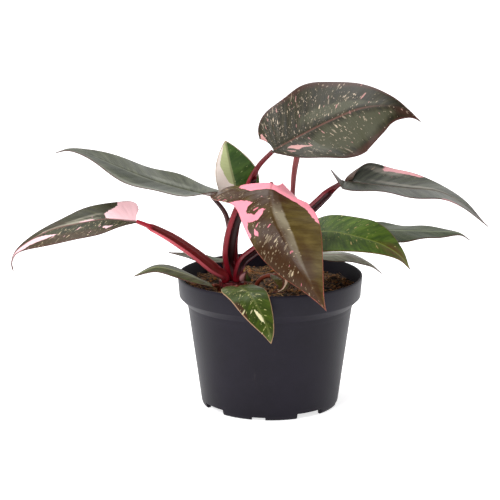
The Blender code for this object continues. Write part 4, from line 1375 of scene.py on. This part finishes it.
# %% The soil grit group
grit_group, source, result = new_group(
    "soil_grit",
    [("Vector", VECTOR, None), ("low", COLOUR, None), ("high", COLOUR, None), ("rust", COLOUR, None),
     ("amount", NUMBER, 0.5)],
    [("Color", COLOUR), ("Height", NUMBER)],
)
tree = grit_group
crumb = grain(tree, source["Vector"], 420.0, 4.0, 0.7)
base = blend(tree, fade(tree, crumb, 0.35, 0.65), source["low"], source["high"])
bits = fade(tree, grain(tree, source["Vector"], 160.0, 3.0, 0.6), 0.5, 0.66)
base = tint(tree, base, bits, source["amount"], source["rust"])
tree.links.new(base, result.inputs["Color"])
tree.links.new(crumb, result.inputs["Height"])


def soil_material(name, low, high, rust, amount):
    material, tree, shader = new_material(name)
    sockets = {"Vector": add(tree, "ShaderNodeTexCoord").outputs["Object"], "amount": amount}
    sockets.update({"low": tone(*low), "high": tone(*high), "rust": tone(*rust)})
    grit = use_group(tree, grit_group, sockets)
    tree.links.new(grit["Color"], shader.inputs["Base Color"])
    shader.inputs["Roughness"].default_value = 0.95
    bump(tree, shader, grit["Height"], 0.9, 0.0012)
    return material


soil_finish = soil_material("potting_soil", (26, 17, 10), (84, 60, 38), (124, 82, 44), 0.6)
finish_piece("soil_body", soil_shape, [soil_finish], "soil", "soil")

# %% [markdown]
# ## Crumbs and fibres
#
# Loose crumbs are small rough balls, squashed and turned, and a fibre is a triangle that is
# extruded step by step along a wandering path. A particle system could scatter them, but a
# loop with a seed gives the same bed each time.

# %% Crumbs
CRUMB_TRIES, CRUMB_REACH = 1500, 57.0
CRUMB_RISE = 0.2
work = bmesh.new()


def spot_on_soil(reach):
    r = reach * math.sqrt(random.random())
    angle = random.uniform(0, 2 * math.pi)
    return r * math.cos(angle), r * math.sin(angle)


def on_a_knob(x, y):
    return any(math.hypot(x - knob["at"][0], y - knob["at"][1]) < knob["bare"] for knob in KNOBS.values())


for index in range(CRUMB_TRIES):
    x, y = spot_on_soil(CRUMB_REACH)
    if on_a_knob(x, y):
        continue
    size = random.uniform(0.5, 1.3) * random.choice((0.8, 1.0, 1.0, 1.6))
    grown = bmesh.ops.create_icosphere(work, subdivisions=1, radius=size * MM)["verts"]
    squash = Matrix.Diagonal(
        (random.uniform(0.7, 1.6), random.uniform(0.5, 1.1), random.uniform(0.4, 0.8), 1))
    spin = Matrix.Rotation(random.uniform(0, 6.28), 4, "Z")
    spin = spin @ Matrix.Rotation(random.uniform(-0.5, 0.5), 4, "X")
    at = Matrix.Translation(Vector((x, y, soil_height(x, y) + CRUMB_RISE * size)) * MM)
    bmesh.ops.transform(work, verts=grown, matrix=at @ spin @ squash)
    kind = random.choice((0, 0, 0, 1, 1, 2))
    for face in {face for vert in grown for face in vert.link_faces}:
        face.material_index = kind
    for vert in grown:
        vert.co += noise.noise_vector(vert.co * 900) * 0.25 * size * MM
peat = soil_material("peat_crumb", (24, 17, 10), (60, 46, 28), (92, 70, 40), 0.4)
coir = soil_material("coir_crumb", (74, 48, 28), (138, 94, 56), (158, 112, 64), 0.5)
bark = soil_material("bark_crumb", (110, 66, 28), (172, 112, 52), (200, 146, 80), 0.5)
print("crumb faces:", len(work.faces))
finish_piece("soil_crumbs", work, [peat, coir, bark], "soil")

# %% Fibres
FIBRE_COUNT, FIBRE_START, FIBRE_REACH = 380, 56.0, 56.5
FIBRE_STEPS = 7
FIBRE_CLEARANCE = 0.5
work = bmesh.new()


def wander(x, y, heading, stride):
    """One step along a fibre, which turns back where it would touch the pot's wall."""
    heading += random.uniform(-0.35, 0.35)
    ahead_x, ahead_y = x + stride * math.cos(heading), y + stride * math.sin(heading)
    if math.hypot(ahead_x, ahead_y) > FIBRE_REACH:
        return x, y, heading + 2.0
    return ahead_x, ahead_y, heading


for index in range(FIBRE_COUNT):
    x, y = spot_on_soil(FIBRE_START)
    heading = random.uniform(0, 2 * math.pi)
    stride = random.uniform(4.0, 13.0) / FIBRE_STEPS
    ring = bmesh.ops.create_circle(work, segments=3, radius=random.uniform(0.09, 0.2) * MM)["verts"]
    rise = random.uniform(0.2, 2.0)
    before = None
    for step in range(FIBRE_STEPS + 1):
        x, y, heading = wander(x, y, heading, stride)
        lift = rise * math.sin(math.pi * step / FIBRE_STEPS)
        here = Vector((x, y, soil_height(x, y) + FIBRE_CLEARANCE + lift)) * MM
        if before is None:
            turn = Matrix.Rotation(heading, 4, "Z") @ Matrix.Rotation(math.pi / 2, 4, "Y")
            bmesh.ops.transform(work, verts=ring, matrix=Matrix.Translation(here) @ turn)
            loop = [edge for edge in work.edges if edge.verts[0] in ring and edge.verts[1] in ring]
        else:
            grown = bmesh.ops.extrude_edge_only(work, edges=loop)["geom"]
            verts = [part for part in grown if isinstance(part, bmesh.types.BMVert)]
            loop = [part for part in grown if isinstance(part, bmesh.types.BMEdge)]
            bmesh.ops.translate(work, verts=verts, vec=here - before)
        before = here
strand = soil_material("coir_fibre", (122, 90, 54), (180, 142, 92), (204, 166, 112), 0.4)
print("fibre faces:", len(work.faces))
finish_piece("coir_fibres", work, [strand], "soil")
